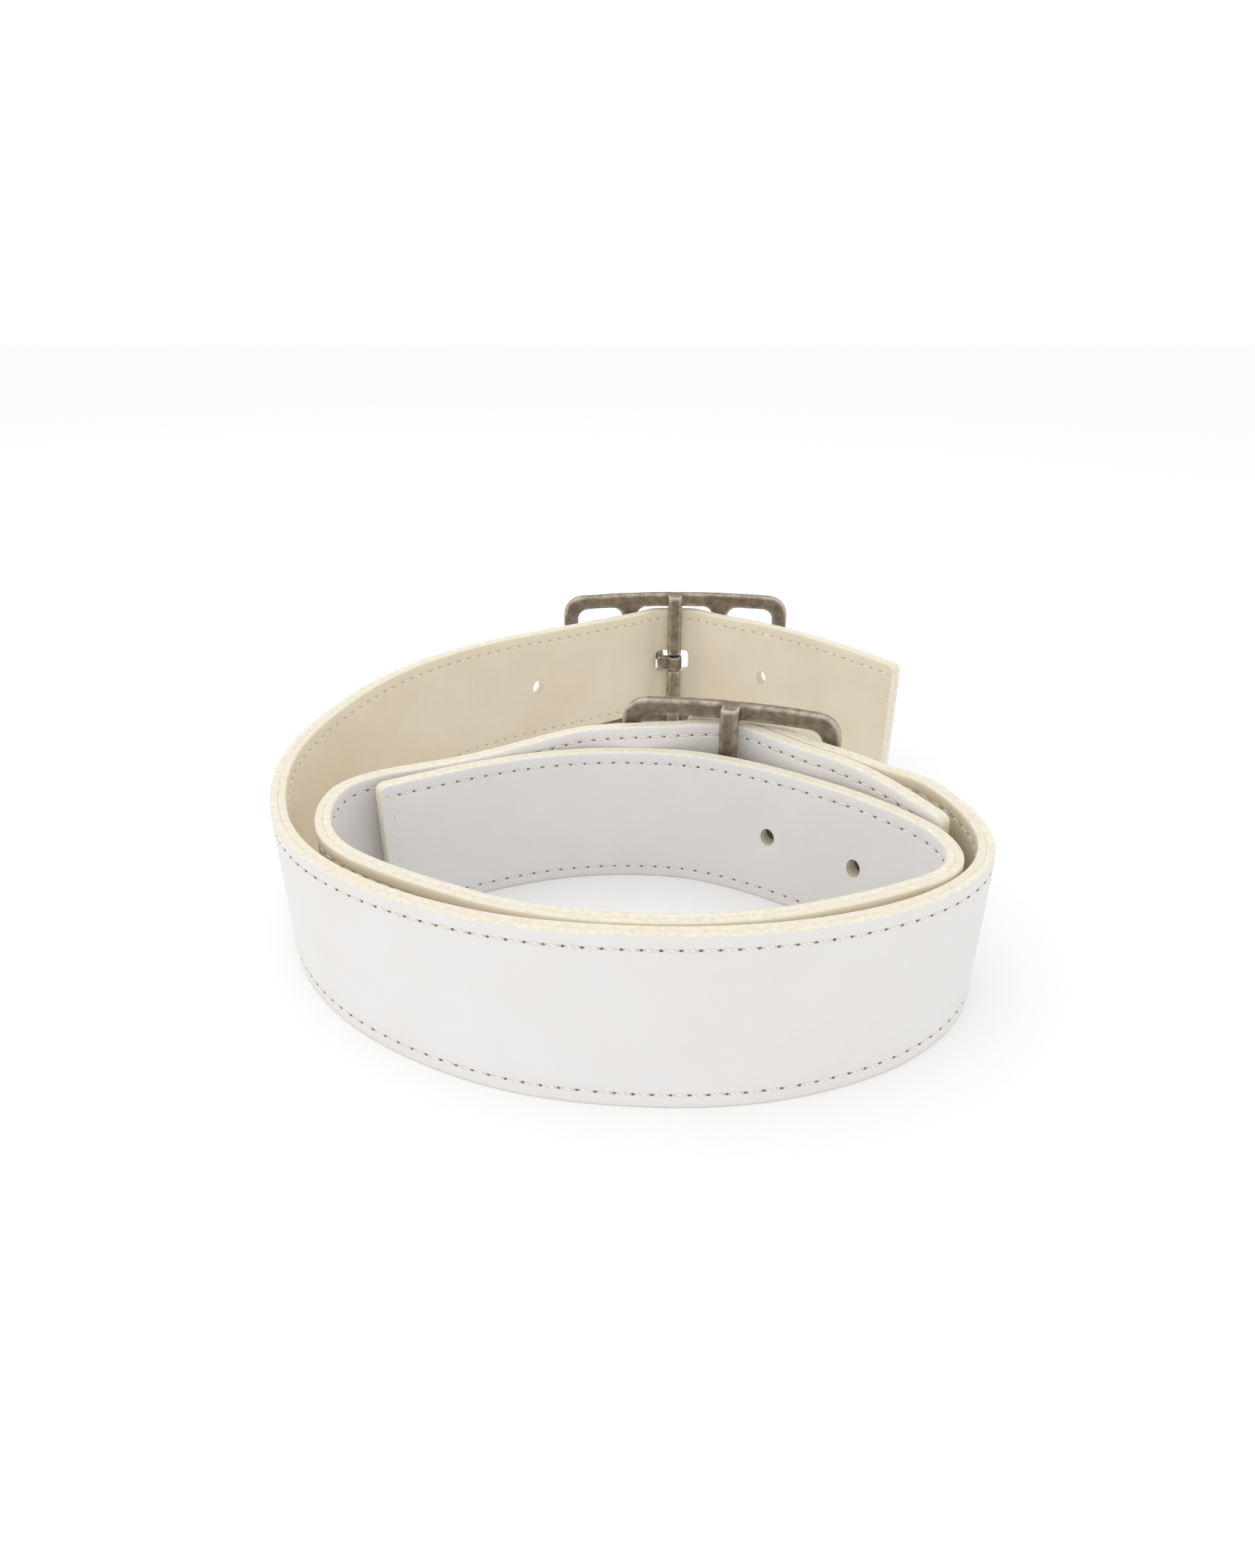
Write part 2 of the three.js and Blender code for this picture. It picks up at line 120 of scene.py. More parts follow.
def set_ramp(node: bpy.types.Node, stops: list[tuple[float, tuple[float, float, float, float]]]) -> None:
    """Gives a colour ramp its stops, as pairs of position and colour."""
    elements = node.color_ramp.elements
    while len(elements) < len(stops):
        elements.new(0.5)
    for element, (position, colour) in zip(elements, stops):
        element.position = position
        element.color = colour


def mesh_object(name: str, mesh: bpy.types.Mesh) -> bpy.types.Object:
    """Wraps a mesh in an object at the origin and links it into the scene."""
    piece = bpy.data.objects.new(name, mesh)
    bpy.context.scene.collection.objects.link(piece)
    return piece


def evaluated_mesh(piece: bpy.types.Object) -> bpy.types.Mesh:
    """Returns a plain mesh of an object with its modifiers applied."""
    bpy.context.view_layer.update()
    graph = bpy.context.evaluated_depsgraph_get()
    return bpy.data.meshes.new_from_object(piece.evaluated_get(graph))


def discard(piece: bpy.types.Object) -> None:
    """Removes a helper object from the file."""
    bpy.data.objects.remove(piece, do_unlink=True)


def vertex_array(mesh: bpy.types.Mesh) -> np.ndarray:
    """Reads a mesh's vertex places as an array with one row each."""
    flat = np.empty(len(mesh.vertices) * 3)
    mesh.vertices.foreach_get("co", flat)
    return flat.reshape(-1, 3)


def normal_array(mesh: bpy.types.Mesh) -> np.ndarray:
    """Reads a mesh's vertex normals as an array with one row each."""
    flat = np.empty(len(mesh.vertices) * 3)
    mesh.vertices.foreach_get("normal", flat)
    return flat.reshape(-1, 3)


def write_vertices(mesh: bpy.types.Mesh, places: np.ndarray) -> None:
    """Writes an array of places back to a mesh's vertices."""
    mesh.vertices.foreach_set("co", places.ravel())
    mesh.update()


def smooth_shade(mesh: bpy.types.Mesh, sharp_degrees: float) -> None:
    """Shades a mesh smooth, apart from edges sharper than an angle."""
    mesh.shade_smooth()
    mesh.set_sharp_from_angle(angle=math.radians(sharp_degrees))


def claim(piece: bpy.types.Object, body: str, replaced: tuple[str, ...]) -> None:
    """Parents a piece to its body's empty and hides the CAD nodes it stands for."""
    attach(piece, body)
    if replaced:
        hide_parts(*replaced)
    LOG.info("%s rides on %s, %d faces", piece.name, body, len(piece.data.polygons))


# ------------------------------------------------------------------ finishes


@dataclass(frozen=True)
class LeatherFinish:
    """Finished strap leather: a soft coated face, faint creases across it and a paler cut edge."""

    name: str
    face: str
    shade: str
    edge: str
    roughness: float
    mottle_mm: float
    grain_mm: float
    crease_depth_mm: float
    grain_depth_mm: float
    edge_shade: str = "#e2d9c3"
    edge_band_mm: float = 0.13

    def build(self) -> bpy.types.Material:
        """Makes the leather's material.

        Returns:
            A material that reads the strap's own UV map, in metres along and up the strap.
        """
        material = bpy.data.materials.new(self.name)
        material.use_nodes = True
        tree = material.node_tree
        shader = tree.nodes["Principled BSDF"]
        shader.inputs["Roughness"].default_value = self.roughness
        place = add_node(tree, "ShaderNodeTexCoord")
        strap = add_node(tree, "ShaderNodeUVMap", uv_map="strap")
        colour = self._colour(tree, place)
        tree.links.new(colour.outputs["Result"], shader.inputs["Base Color"])
        tree.links.new(self._bump(tree, place, strap).outputs["Normal"], shader.inputs["Normal"])
        return material

    def _colour(self, tree: bpy.types.NodeTree, place: bpy.types.Node) -> bpy.types.Node:
        """Mottles the face colour, adds faint handling marks and lays the edge colour on the cut edges."""
        mottle = add_node(
            tree,
            "ShaderNodeTexNoise",
            {"Vector": place.outputs["Object"], "Scale": 1 / (self.mottle_mm * MM), "Detail": 5.0, "Roughness": 0.6},
        )
        cloud = add_node(tree, "ShaderNodeValToRGB", {"Fac": mottle.outputs["Fac"]})
        set_ramp(cloud, [(0.35, (0, 0, 0, 1)), (0.75, (1, 1, 1, 1))])
        tinted = add_node(
            tree,
            "ShaderNodeMix",
            {0: cloud.outputs["Color"], 6: linear(self.face), 7: linear(self.shade)},
            data_type="RGBA",
        )
        marks = add_node(
            tree,
            "ShaderNodeTexNoise",
            {"Vector": place.outputs["Object"], "Scale": 1 / (2.6 * MM), "Detail": 6.0, "Roughness": 0.7},
        )
        flecks = add_node(tree, "ShaderNodeValToRGB", {"Fac": marks.outputs["Fac"]})
        set_ramp(flecks, [(0.68, (1, 1, 1, 1)), (0.80, (0.82, 0.80, 0.76, 1))])
        handled = add_node(
            tree,
            "ShaderNodeMix",
            {0: 1.0, 6: tinted.outputs["Result"], 7: flecks.outputs["Color"]},
            data_type="RGBA",
            blend_type="MULTIPLY",
        )
        gap = add_node(tree, "ShaderNodeAttribute", attribute_name="edge_gap")
        cut = self.edge_band_mm * MM
        band = add_node(
            tree, "ShaderNodeMapRange", {"Value": gap.outputs["Fac"], "From Min": 1.8 * cut, "From Max": cut}
        )
        fibres = add_node(
            tree,
            "ShaderNodeTexNoise",
            {"Vector": place.outputs["Object"], "Scale": 1 / (1.3 * MM), "Detail": 5.0, "Roughness": 0.7},
        )
        fuzz = add_node(tree, "ShaderNodeValToRGB", {"Fac": fibres.outputs["Fac"]})
        set_ramp(fuzz, [(0.36, linear(self.edge_shade)), (0.58, linear(self.edge))])
        return add_node(
            tree,
            "ShaderNodeMix",
            {0: band.outputs["Result"], 6: handled.outputs["Result"], 7: fuzz.outputs["Color"]},
            data_type="RGBA",
        )

    def _bump(self, tree: bpy.types.NodeTree, place: bpy.types.Node, strap: bpy.types.Node) -> bpy.types.Node:
        """Raises a fine grain and long soft creases that cross the strap."""
        stretched = add_node(
            tree,
            "ShaderNodeMapping",
            {"Vector": strap.outputs["UV"], "Scale": (1 / (3.5 * MM), 1 / (26 * MM), 1.0)},
        )
        crease = add_node(
            tree,
            "ShaderNodeTexNoise",
            {"Vector": stretched.outputs["Vector"], "Scale": 1.0, "Detail": 3.0, "Distortion": 0.6},
        )
        grain = add_node(
            tree,
            "ShaderNodeTexVoronoi",
            {"Vector": place.outputs["Object"], "Scale": 1 / (self.grain_mm * MM), "Randomness": 1.0},
            feature="SMOOTH_F1",
        )
        folded = add_node(
            tree,
            "ShaderNodeBump",
            {"Height": crease.outputs["Fac"], "Strength": 0.6, "Distance": self.crease_depth_mm * MM},
        )
        return add_node(
            tree,
            "ShaderNodeBump",
            {
                "Height": grain.outputs["Distance"],
                "Strength": 0.5,
                "Distance": self.grain_depth_mm * MM,
                "Normal": folded.outputs["Normal"],
            },
        )


@dataclass(frozen=True)
class ThreadFinish:
    """Waxed polyester sewing thread: a matt strand with the twist of its plies, drawn with painted shade in the hollows
    between them.
    """

    name: str
    strand: str
    hollow: str
    roughness: float
    ply_mm: float

    def build(self) -> bpy.types.Material:
        """Makes the thread's material."""
        material = bpy.data.materials.new(self.name)
        material.use_nodes = True
        tree = material.node_tree
        shader = tree.nodes["Principled BSDF"]
        shader.inputs["Roughness"].default_value = self.roughness
        place = add_node(tree, "ShaderNodeTexCoord")
        twist = add_node(
            tree,
            "ShaderNodeTexWave",
            {"Vector": place.outputs["Object"], "Scale": 1 / (self.ply_mm * MM) / 6.283, "Distortion": 1.5},
            bands_direction="DIAGONAL",
        )
        # The hollow colour between the twist's bands is painted shade in the grooves between the plies.
        ply_shade = add_node(
            tree,
            "ShaderNodeMix",
            {0: twist.outputs["Fac"], 6: linear(self.hollow), 7: linear(self.strand)},
            data_type="RGBA",
        )
        tree.links.new(ply_shade.outputs["Result"], shader.inputs["Base Color"])
        return material


@dataclass(frozen=True)
class CastMetalFinish:
    """Zinc alloy casting with an antique bronze patina, rubbed pale on its proud edges."""

    name: str
    hollow: str
    patina: str
    rubbed: str
    roughness: float
    cloud_mm: float
    pit_mm: float

    def build(self) -> bpy.types.Material:
        """Makes the casting's material, which reads the piece's own wear attribute.

        Returns:
            The material.
        """
        material = bpy.data.materials.new(self.name)
        material.use_nodes = True
        tree = material.node_tree
        shader = tree.nodes["Principled BSDF"]
        shader.inputs["Metallic"].default_value = 0.88
        place = add_node(tree, "ShaderNodeTexCoord")
        cloud = add_node(
            tree,
            "ShaderNodeTexNoise",
            {"Vector": place.outputs["Object"], "Scale": 1 / (self.cloud_mm * MM), "Detail": 6.0, "Roughness": 0.65},
        )
        depth = add_node(tree, "ShaderNodeValToRGB", {"Fac": cloud.outputs["Fac"]})
        set_ramp(depth, [(0.34, linear(self.hollow)), (0.62, linear(self.patina))])
        wear = add_node(tree, "ShaderNodeAttribute", attribute_name="wear")
        rough_wear = add_node(
            tree, "ShaderNodeMath", {0: wear.outputs["Fac"], 1: cloud.outputs["Fac"]}, operation="MULTIPLY"
        )
        rub = add_node(tree, "ShaderNodeMapRange", {"Value": rough_wear.outputs[0], "From Min": 0.12, "From Max": 0.5})
        colour = add_node(
            tree,
            "ShaderNodeMix",
            {0: rub.outputs["Result"], 6: depth.outputs["Color"], 7: linear(self.rubbed)},
            data_type="RGBA",
        )
        gloss = add_node(
            tree,
            "ShaderNodeMapRange",
            {"Value": cloud.outputs["Fac"], "To Min": self.roughness + 0.12, "To Max": self.roughness - 0.1},
        )
        pits = add_node(
            tree,
            "ShaderNodeTexNoise",
            {"Vector": place.outputs["Object"], "Scale": 1 / (self.pit_mm * MM), "Detail": 4.0},
        )
        bump = add_node(tree, "ShaderNodeBump", {"Height": pits.outputs["Fac"], "Strength": 0.5, "Distance": 0.08 * MM})
        tree.links.new(colour.outputs["Result"], shader.inputs["Base Color"])
        tree.links.new(gloss.outputs["Result"], shader.inputs["Roughness"])
        tree.links.new(bump.outputs["Normal"], shader.inputs["Normal"])
        return material


@dataclass(frozen=True)
class StudioPaperFinish:
    """Matt white studio paper: even, with no gloss."""

    name: str
    paper: str

    def build(self) -> bpy.types.Material:
        """Makes the floor's material."""
        material = bpy.data.materials.new(self.name)
        material.use_nodes = True
        shader = material.node_tree.nodes["Principled BSDF"]
        shader.inputs["Base Color"].default_value = linear(self.paper)
        shader.inputs["Roughness"].default_value = 0.9
        return material


# ------------------------------------------------------------------ plan of the belt


@dataclass(frozen=True)
class Placement:
    """A buckle's own frame in plan: x along its length and y outwards through its plate."""

    x: float
    y: float
    degrees: float

    def at(self, local_x: float, local_y: float) -> Point:
        """Returns the plan point of a place in the buckle's own frame."""
        angle = math.radians(self.degrees)
        return (
            self.x + local_x * math.cos(angle) - local_y * math.sin(angle),
            self.y + local_x * math.sin(angle) + local_y * math.cos(angle),
        )


@dataclass(frozen=True)
class BeltPlan:
    """Sizes that the straps and buckles share, and the coil's layout in plan."""

    strap_width: float = 38.0
    leather: float = 1.75
    bond_gap: float = 0.34
    bar: float = 4.8
    strap_play: float = 1.0
    plate: float = 3.0
    plate_setback: float = 1.5
    strap_gap: float = 0.4
    loop_width: float = 150.0
    loop_depth: float = 88.0
    loop_middle: Point = (0.0, 16.0)
    layer_play: float = 0.5
    front_lean: float = 5.5
    buckle_a: Placement = Placement(17.0, 161.3, 0.0)
    buckle_b: Placement = Placement(27.0, 57.976, -14.0)

    @property
    def thickness(self) -> float:
        """Whole thickness of a strap."""
        return 2 * self.leather + self.bond_gap

    @property
    def layer_one(self) -> float:
        """Middle of a strap that lies on a centre bar."""
        return self.strap_gap + self.thickness / 2

    @property
    def layer_two(self) -> float:
        """Middle of a second strap that lies over the first."""
        return self.layer_one + self.thickness + self.strap_gap

    @property
    def lift(self) -> float:
        """Height of a strap's lower edge where a buckle holds it."""
        return self.bar + self.strap_play

    @property
    def buckle_height(self) -> float:
        """Whole height of a buckle."""
        return self.strap_width + 2 * self.strap_play + 2 * self.bar

    def loop(self, across_share: float, depth_share: float, layers: float) -> Point:
        """Returns a plan point of the innermost layer, moved outwards by a number of layers."""
        x = across_share * self.loop_width
        y = self.loop_middle[1] + depth_share * self.loop_depth
        out = Vector((x - self.loop_middle[0], y - self.loop_middle[1])).normalized()
        reach = layers * (self.thickness + self.layer_play)
        return (x + out.x * reach, y + out.y * reach)

    def offset(self) -> Point:
        """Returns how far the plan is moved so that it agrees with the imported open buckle."""
        low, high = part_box("buckle_a_frame")
        plate_back = self.buckle_a.y + self.plate_setback + self.plate
        return ((low[0] + high[0]) / 2 / MM - self.buckle_a.x, high[1] / MM - plate_back)

    def inner_route(self) -> list[Point]:
        """Returns the inner strap's guide points, from its free end to its tab beyond the second buckle."""
        b = self.buckle_b
        return [
            self.loop(-0.41, 0.214, 0), self.loop(-0.28, 0.347, 0), self.loop(-0.093, 0.457, 0),
            self.loop(0.08, 0.453, 0), self.loop(0.18, 0.393, 0), self.loop(0.28, 0.286, 0),
            self.loop(0.393, 0.131, 0), self.loop(0.48, -0.068, 0), self.loop(0.46, -0.239, 0),
            self.loop(0.333, -0.354, 0), self.loop(0.14, -0.457, 0), self.loop(-0.1, -0.442, 0),
            self.loop(-0.307, -0.272, 0), self.loop(-0.44, -0.102, 0), self.loop(-0.483, 0.102, 0),
            self.loop(-0.433, 0.256, 1), self.loop(-0.28, 0.347, 1), self.loop(-0.093, 0.465, 1),
            b.at(-31, -5.3), b.at(-20, -3.4), b.at(-7, self.layer_one), b.at(0, self.layer_one),
            b.at(5.4, self.layer_one), b.at(20, -8.3), b.at(31, -11.6),
            self.loop(0.395, 0.135, 1.2), self.loop(0.45, 0.01, 1.2),
        ]

    def outer_route(self) -> list[Point]:
        """Returns the outer strap's guide points, from its free end through both buckles."""
        a, b = self.buckle_a, self.buckle_b
        over_bar = self.layer_one + 0.1
        return [
            a.at(65.6, -57.4), a.at(52, -38.5), a.at(34, -17.5), a.at(12.8, -3.4), a.at(7.4, over_bar),
            a.at(0, over_bar), a.at(-7.4, over_bar), a.at(-12.8, -3.4), a.at(-36, -18.5), a.at(-66, -36),
            a.at(-90.5, -64), self.loop(-0.584, 0.511, 0), self.loop(-0.575, 0.193, 0),
            self.loop(-0.489, -0.125, 0), self.loop(-0.299, -0.325, 1), self.loop(-0.109, -0.442, 1),
            self.loop(0.134, -0.466, 1), self.loop(0.336, -0.383, 1), self.loop(0.469, -0.225, 1),
            self.loop(0.515, -0.012, 1), self.loop(0.462, 0.19, 1.2), b.at(40, -10.4), b.at(31, -7),
            b.at(22, -4.3), b.at(7, self.layer_two), b.at(0, self.layer_two), b.at(-12.5, self.layer_two),
        ]


@dataclass(frozen=True)
class Hold:
    """Where a buckle holds a strap off the ground, and how far along the strap that lasts."""

    point: Point
    flat: float
    fade: float


class StrapPath:
    """A strap's path in plan, with the height of its lower edge and its lean, by distance along it."""

    STEP = 1.4

    def __init__(self, plan: BeltPlan, route: list[Point], holds: list[Hold]) -> None:
        """Lays the path along a route.

        Args:
            plan: the belt's shared sizes.
            route: guide points of the quadratic curves that make the path.
            holds: where buckles hold the strap up.
        """
        self.plan = plan
        places, tangents = self._curves([Vector(point) for point in route])
        steps = np.linalg.norm(np.diff(places, axis=0), axis=1)
        self.runs = np.concatenate(([0.0], np.cumsum(steps)))
        self.places = places
        self.normals = np.stack([-tangents[:, 1], tangents[:, 0]], axis=1)
        self.length = float(self.runs[-1])
        self.lifts = np.zeros(len(places))
        for hold in holds:
            share = np.clip((np.abs(self.runs - self.run_near(hold.point)) - hold.flat) / hold.fade, 0, 1)
            eased = 1 - share * share * (3 - 2 * share)
            self.lifts = np.maximum(self.lifts, plan.lift * eased)
        in_front = places[:, 1] < plan.loop_middle[1]
        self.leans = in_front * plan.front_lean * self.normals[:, 1] ** 4 * np.sign(self.normals[:, 1])

    def _curves(self, route: list[Vector]) -> tuple[np.ndarray, np.ndarray]:
        """Samples quadratic curves that join at the middles of the guide polygon's edges."""
        places, tangents = [], []
        start = route[0]
        for i in range(1, len(route) - 1):
            end = route[i + 1] if i == len(route) - 2 else (route[i] + route[i + 1]) / 2
            reach = (route[i] - start).length + (end - route[i]).length
            count = max(2, math.ceil(reach / self.STEP))
            for k in range(1 if places else 0, count + 1):
                t = k / count
                place = start * (1 - t) ** 2 + route[i] * 2 * t * (1 - t) + end * t * t
                tangent = ((route[i] - start) * (1 - t) + (end - route[i]) * t).normalized()
                places.append(place[:])
                tangents.append(tangent[:])
            start = end
        return np.array(places), np.array(tangents)

    def run_near(self, point: Point) -> float:
        """Returns the distance along the path of the place nearest a plan point."""
        gaps = np.linalg.norm(self.places - np.array(point), axis=1)
        return float(self.runs[int(np.argmin(gaps))])

    def map(self, run: np.ndarray, up: np.ndarray, across: np.ndarray) -> np.ndarray:
        """Bends flat strap coordinates onto the path.

        Args:
            run: distance along the strap.
            up: height above the strap's lower edge.
            across: distance from the strap's middle along the plan normal.

        Returns:
            Places in the belt's plan, in millimetres, one row each.
        """
        columns = [np.interp(run, self.runs, source) for source in (*self.places.T, *self.normals.T)]
        lift = np.interp(run, self.runs, self.lifts)
        lean = np.interp(run, self.runs, self.leans)
        share = up / self.plan.strap_width
        relaxed = 0.1 * np.sin(run / 14.0 + up / 11) + 0.03 * np.sin(run / 6.1 + 2.0)
        settled = 0.18 * share * np.sin(run / 19.0 + 0.7)
        shift = across + relaxed + lean * (share - 0.5)
        return np.stack([columns[0] + columns[2] * shift, columns[1] + columns[3] * shift, lift + up + settled], axis=1)


# ------------------------------------------------------------------ straps


@dataclass(frozen=True)
class Opening:
    """A punched hole or a slot in a strap, by its span along it and its height."""

    low_run: float
    high_run: float
    height: float

    @property
    def power(self) -> float:
        """How square the outline is: 1 for an oval hole, less for a slot with flat sides."""
        return 1.0 if self.high_run - self.low_run < 7.0 else 0.35

    def gap(self, run: np.ndarray, up: np.ndarray, width: float) -> np.ndarray:
        """Returns roughly how far outside the outline each place lies."""
        half_run, half_up = (self.high_run - self.low_run) / 2, self.height / 2
        shares = (
            np.abs(run - (self.high_run + self.low_run) / 2) / half_run,
            np.abs(up - width / 2) / half_up,
        )
        order = 2 / self.power
        reach = (shares[0] ** order + shares[1] ** order) ** (1 / order)
        return np.maximum(reach - 1, 0) * min(half_run, half_up)

    def outline(self, width: float) -> list[Point]:
        """Returns a rounded outline round the strap's middle line, as run and up."""
        middle, half_up = width / 2, self.height / 2
        half_run = (self.high_run - self.low_run) / 2
        centre = (self.high_run + self.low_run) / 2
        points, power = [], self.power
        for k in range(28):
            angle = 2 * math.pi * k / 28
            cosine, sine = math.cos(angle), math.sin(angle)
            points.append((
                centre + half_run * math.copysign(abs(cosine) ** power, cosine),
                middle + half_up * math.copysign(abs(sine) ** power, sine),
            ))
        return points


@dataclass
class StitchRow:
    """Sewing along a line: its pitch and the size of one stitch and one needle hole."""

    pitch: float = 3.75
    stitch_length: float = 3.0
    stitch_width: float = 0.7
    stitch_height: float = 0.5
    hole_length: float = 0.8
    hole_width: float = 0.55
    hole_height: float = 0.34
    seed: int = 7


class StitchTree:
    """A Geometry Nodes tree that sets one small bead on every pitch of a sewing line."""

    INPUTS = ("Pitch", "Length", "Width", "Height")

    def __init__(self, name: str, material: bpy.types.Material) -> None:
        """Builds the tree.

        Args:
            name: the tree's name.
            material: the finish of every bead.
        """
        tree = bpy.data.node_groups.new(name, "GeometryNodeTree")
        tree.interface.new_socket("Geometry", in_out="INPUT", socket_type="NodeSocketGeometry")
        for label in self.INPUTS:
            tree.interface.new_socket(label, in_out="INPUT", socket_type="NodeSocketFloat")
        tree.interface.new_socket("Seed", in_out="INPUT", socket_type="NodeSocketInt")
        tree.interface.new_socket("Geometry", in_out="OUTPUT", socket_type="NodeSocketGeometry")
        self.tree = tree
        given = add_node(tree, "NodeGroupInput").outputs
        line = add_node(tree, "GeometryNodeMeshToCurve", {0: given["Geometry"]})
        spaced = add_node(tree, "GeometryNodeResampleCurve", {"Curve": line.outputs["Curve"]}, mode="LENGTH")
        tree.links.new(given["Pitch"], spaced.inputs["Length"])
        bead = add_node(tree, "GeometryNodeMeshUVSphere", {"Segments": 8, "Rings": 5, "Radius": 0.5})
        size = add_node(
            tree, "ShaderNodeCombineXYZ", {"X": given["Length"], "Y": given["Width"], "Z": given["Height"]}
        )
        shaped = add_node(
            tree, "GeometryNodeTransform", {"Geometry": bead.outputs["Mesh"], "Scale": size.outputs["Vector"]}
        )
        along = add_node(tree, "GeometryNodeInputTangent")
        outward = add_node(tree, "GeometryNodeInputNamedAttribute", {"Name": "outward"}, data_type="FLOAT_VECTOR")
        turned = add_node(
            tree, "FunctionNodeAlignRotationToVector", {"Vector": along.outputs["Tangent"]}, axis="X"
        )
        settled = add_node(
            tree,
            "FunctionNodeAlignRotationToVector",
            {"Rotation": turned.outputs["Rotation"], "Vector": outward.outputs["Attribute"]},
            axis="Z",
            pivot_axis="X",
        )
        vary = add_node(
            tree,
            "FunctionNodeRandomValue",
            {"Seed": given["Seed"]},
            data_type="FLOAT_VECTOR",
        )
        vary.inputs["Min"].default_value = (0.93, 0.9, 0.9)
        vary.inputs["Max"].default_value = (1.05, 1.08, 1.1)
        placed = add_node(
            tree,
            "GeometryNodeInstanceOnPoints",
            {
                "Points": spaced.outputs["Curve"],
                "Instance": shaped.outputs["Geometry"],
                "Rotation": settled.outputs["Rotation"],
                "Scale": vary.outputs["Value"],
            },
        )
        real = add_node(tree, "GeometryNodeRealizeInstances", {"Geometry": placed.outputs["Instances"]})
        smooth = add_node(tree, "GeometryNodeSetShadeSmooth", {"Geometry": real.outputs["Geometry"]})
        dressed = add_node(
            tree, "GeometryNodeSetMaterial", {"Geometry": smooth.outputs["Geometry"], "Material": material}
        )
        add_node(tree, "NodeGroupOutput", {"Geometry": dressed.outputs["Geometry"]})

    def sew(
        self, name: str, line: bpy.types.Mesh, sizes: tuple[float, float, float, float], seed: int
    ) -> bpy.types.Mesh:
        """Runs the tree on a sewing line.

        Args:
            name: the name of the helper object.
            line: edges with an outward direction on each vertex, in metres.
            sizes: pitch, bead length, width and height, in millimetres.
            seed: what the small differences between beads are drawn from.

        Returns:
            A plain mesh of all the beads.
        """
        piece = mesh_object(name, line)
        modifier = piece.modifiers.new("Sewing", "NODES")
        modifier.node_group = self.tree
        sockets = {item.name: item.identifier for item in self.tree.interface.items_tree if item.in_out == "INPUT"}
        for label, value in zip(self.INPUTS, sizes):
            modifier[sockets[label]] = value * MM
        modifier[sockets["Seed"]] = seed
        result = evaluated_mesh(piece)
        piece.modifiers.remove(modifier)
        discard(piece)
        return result


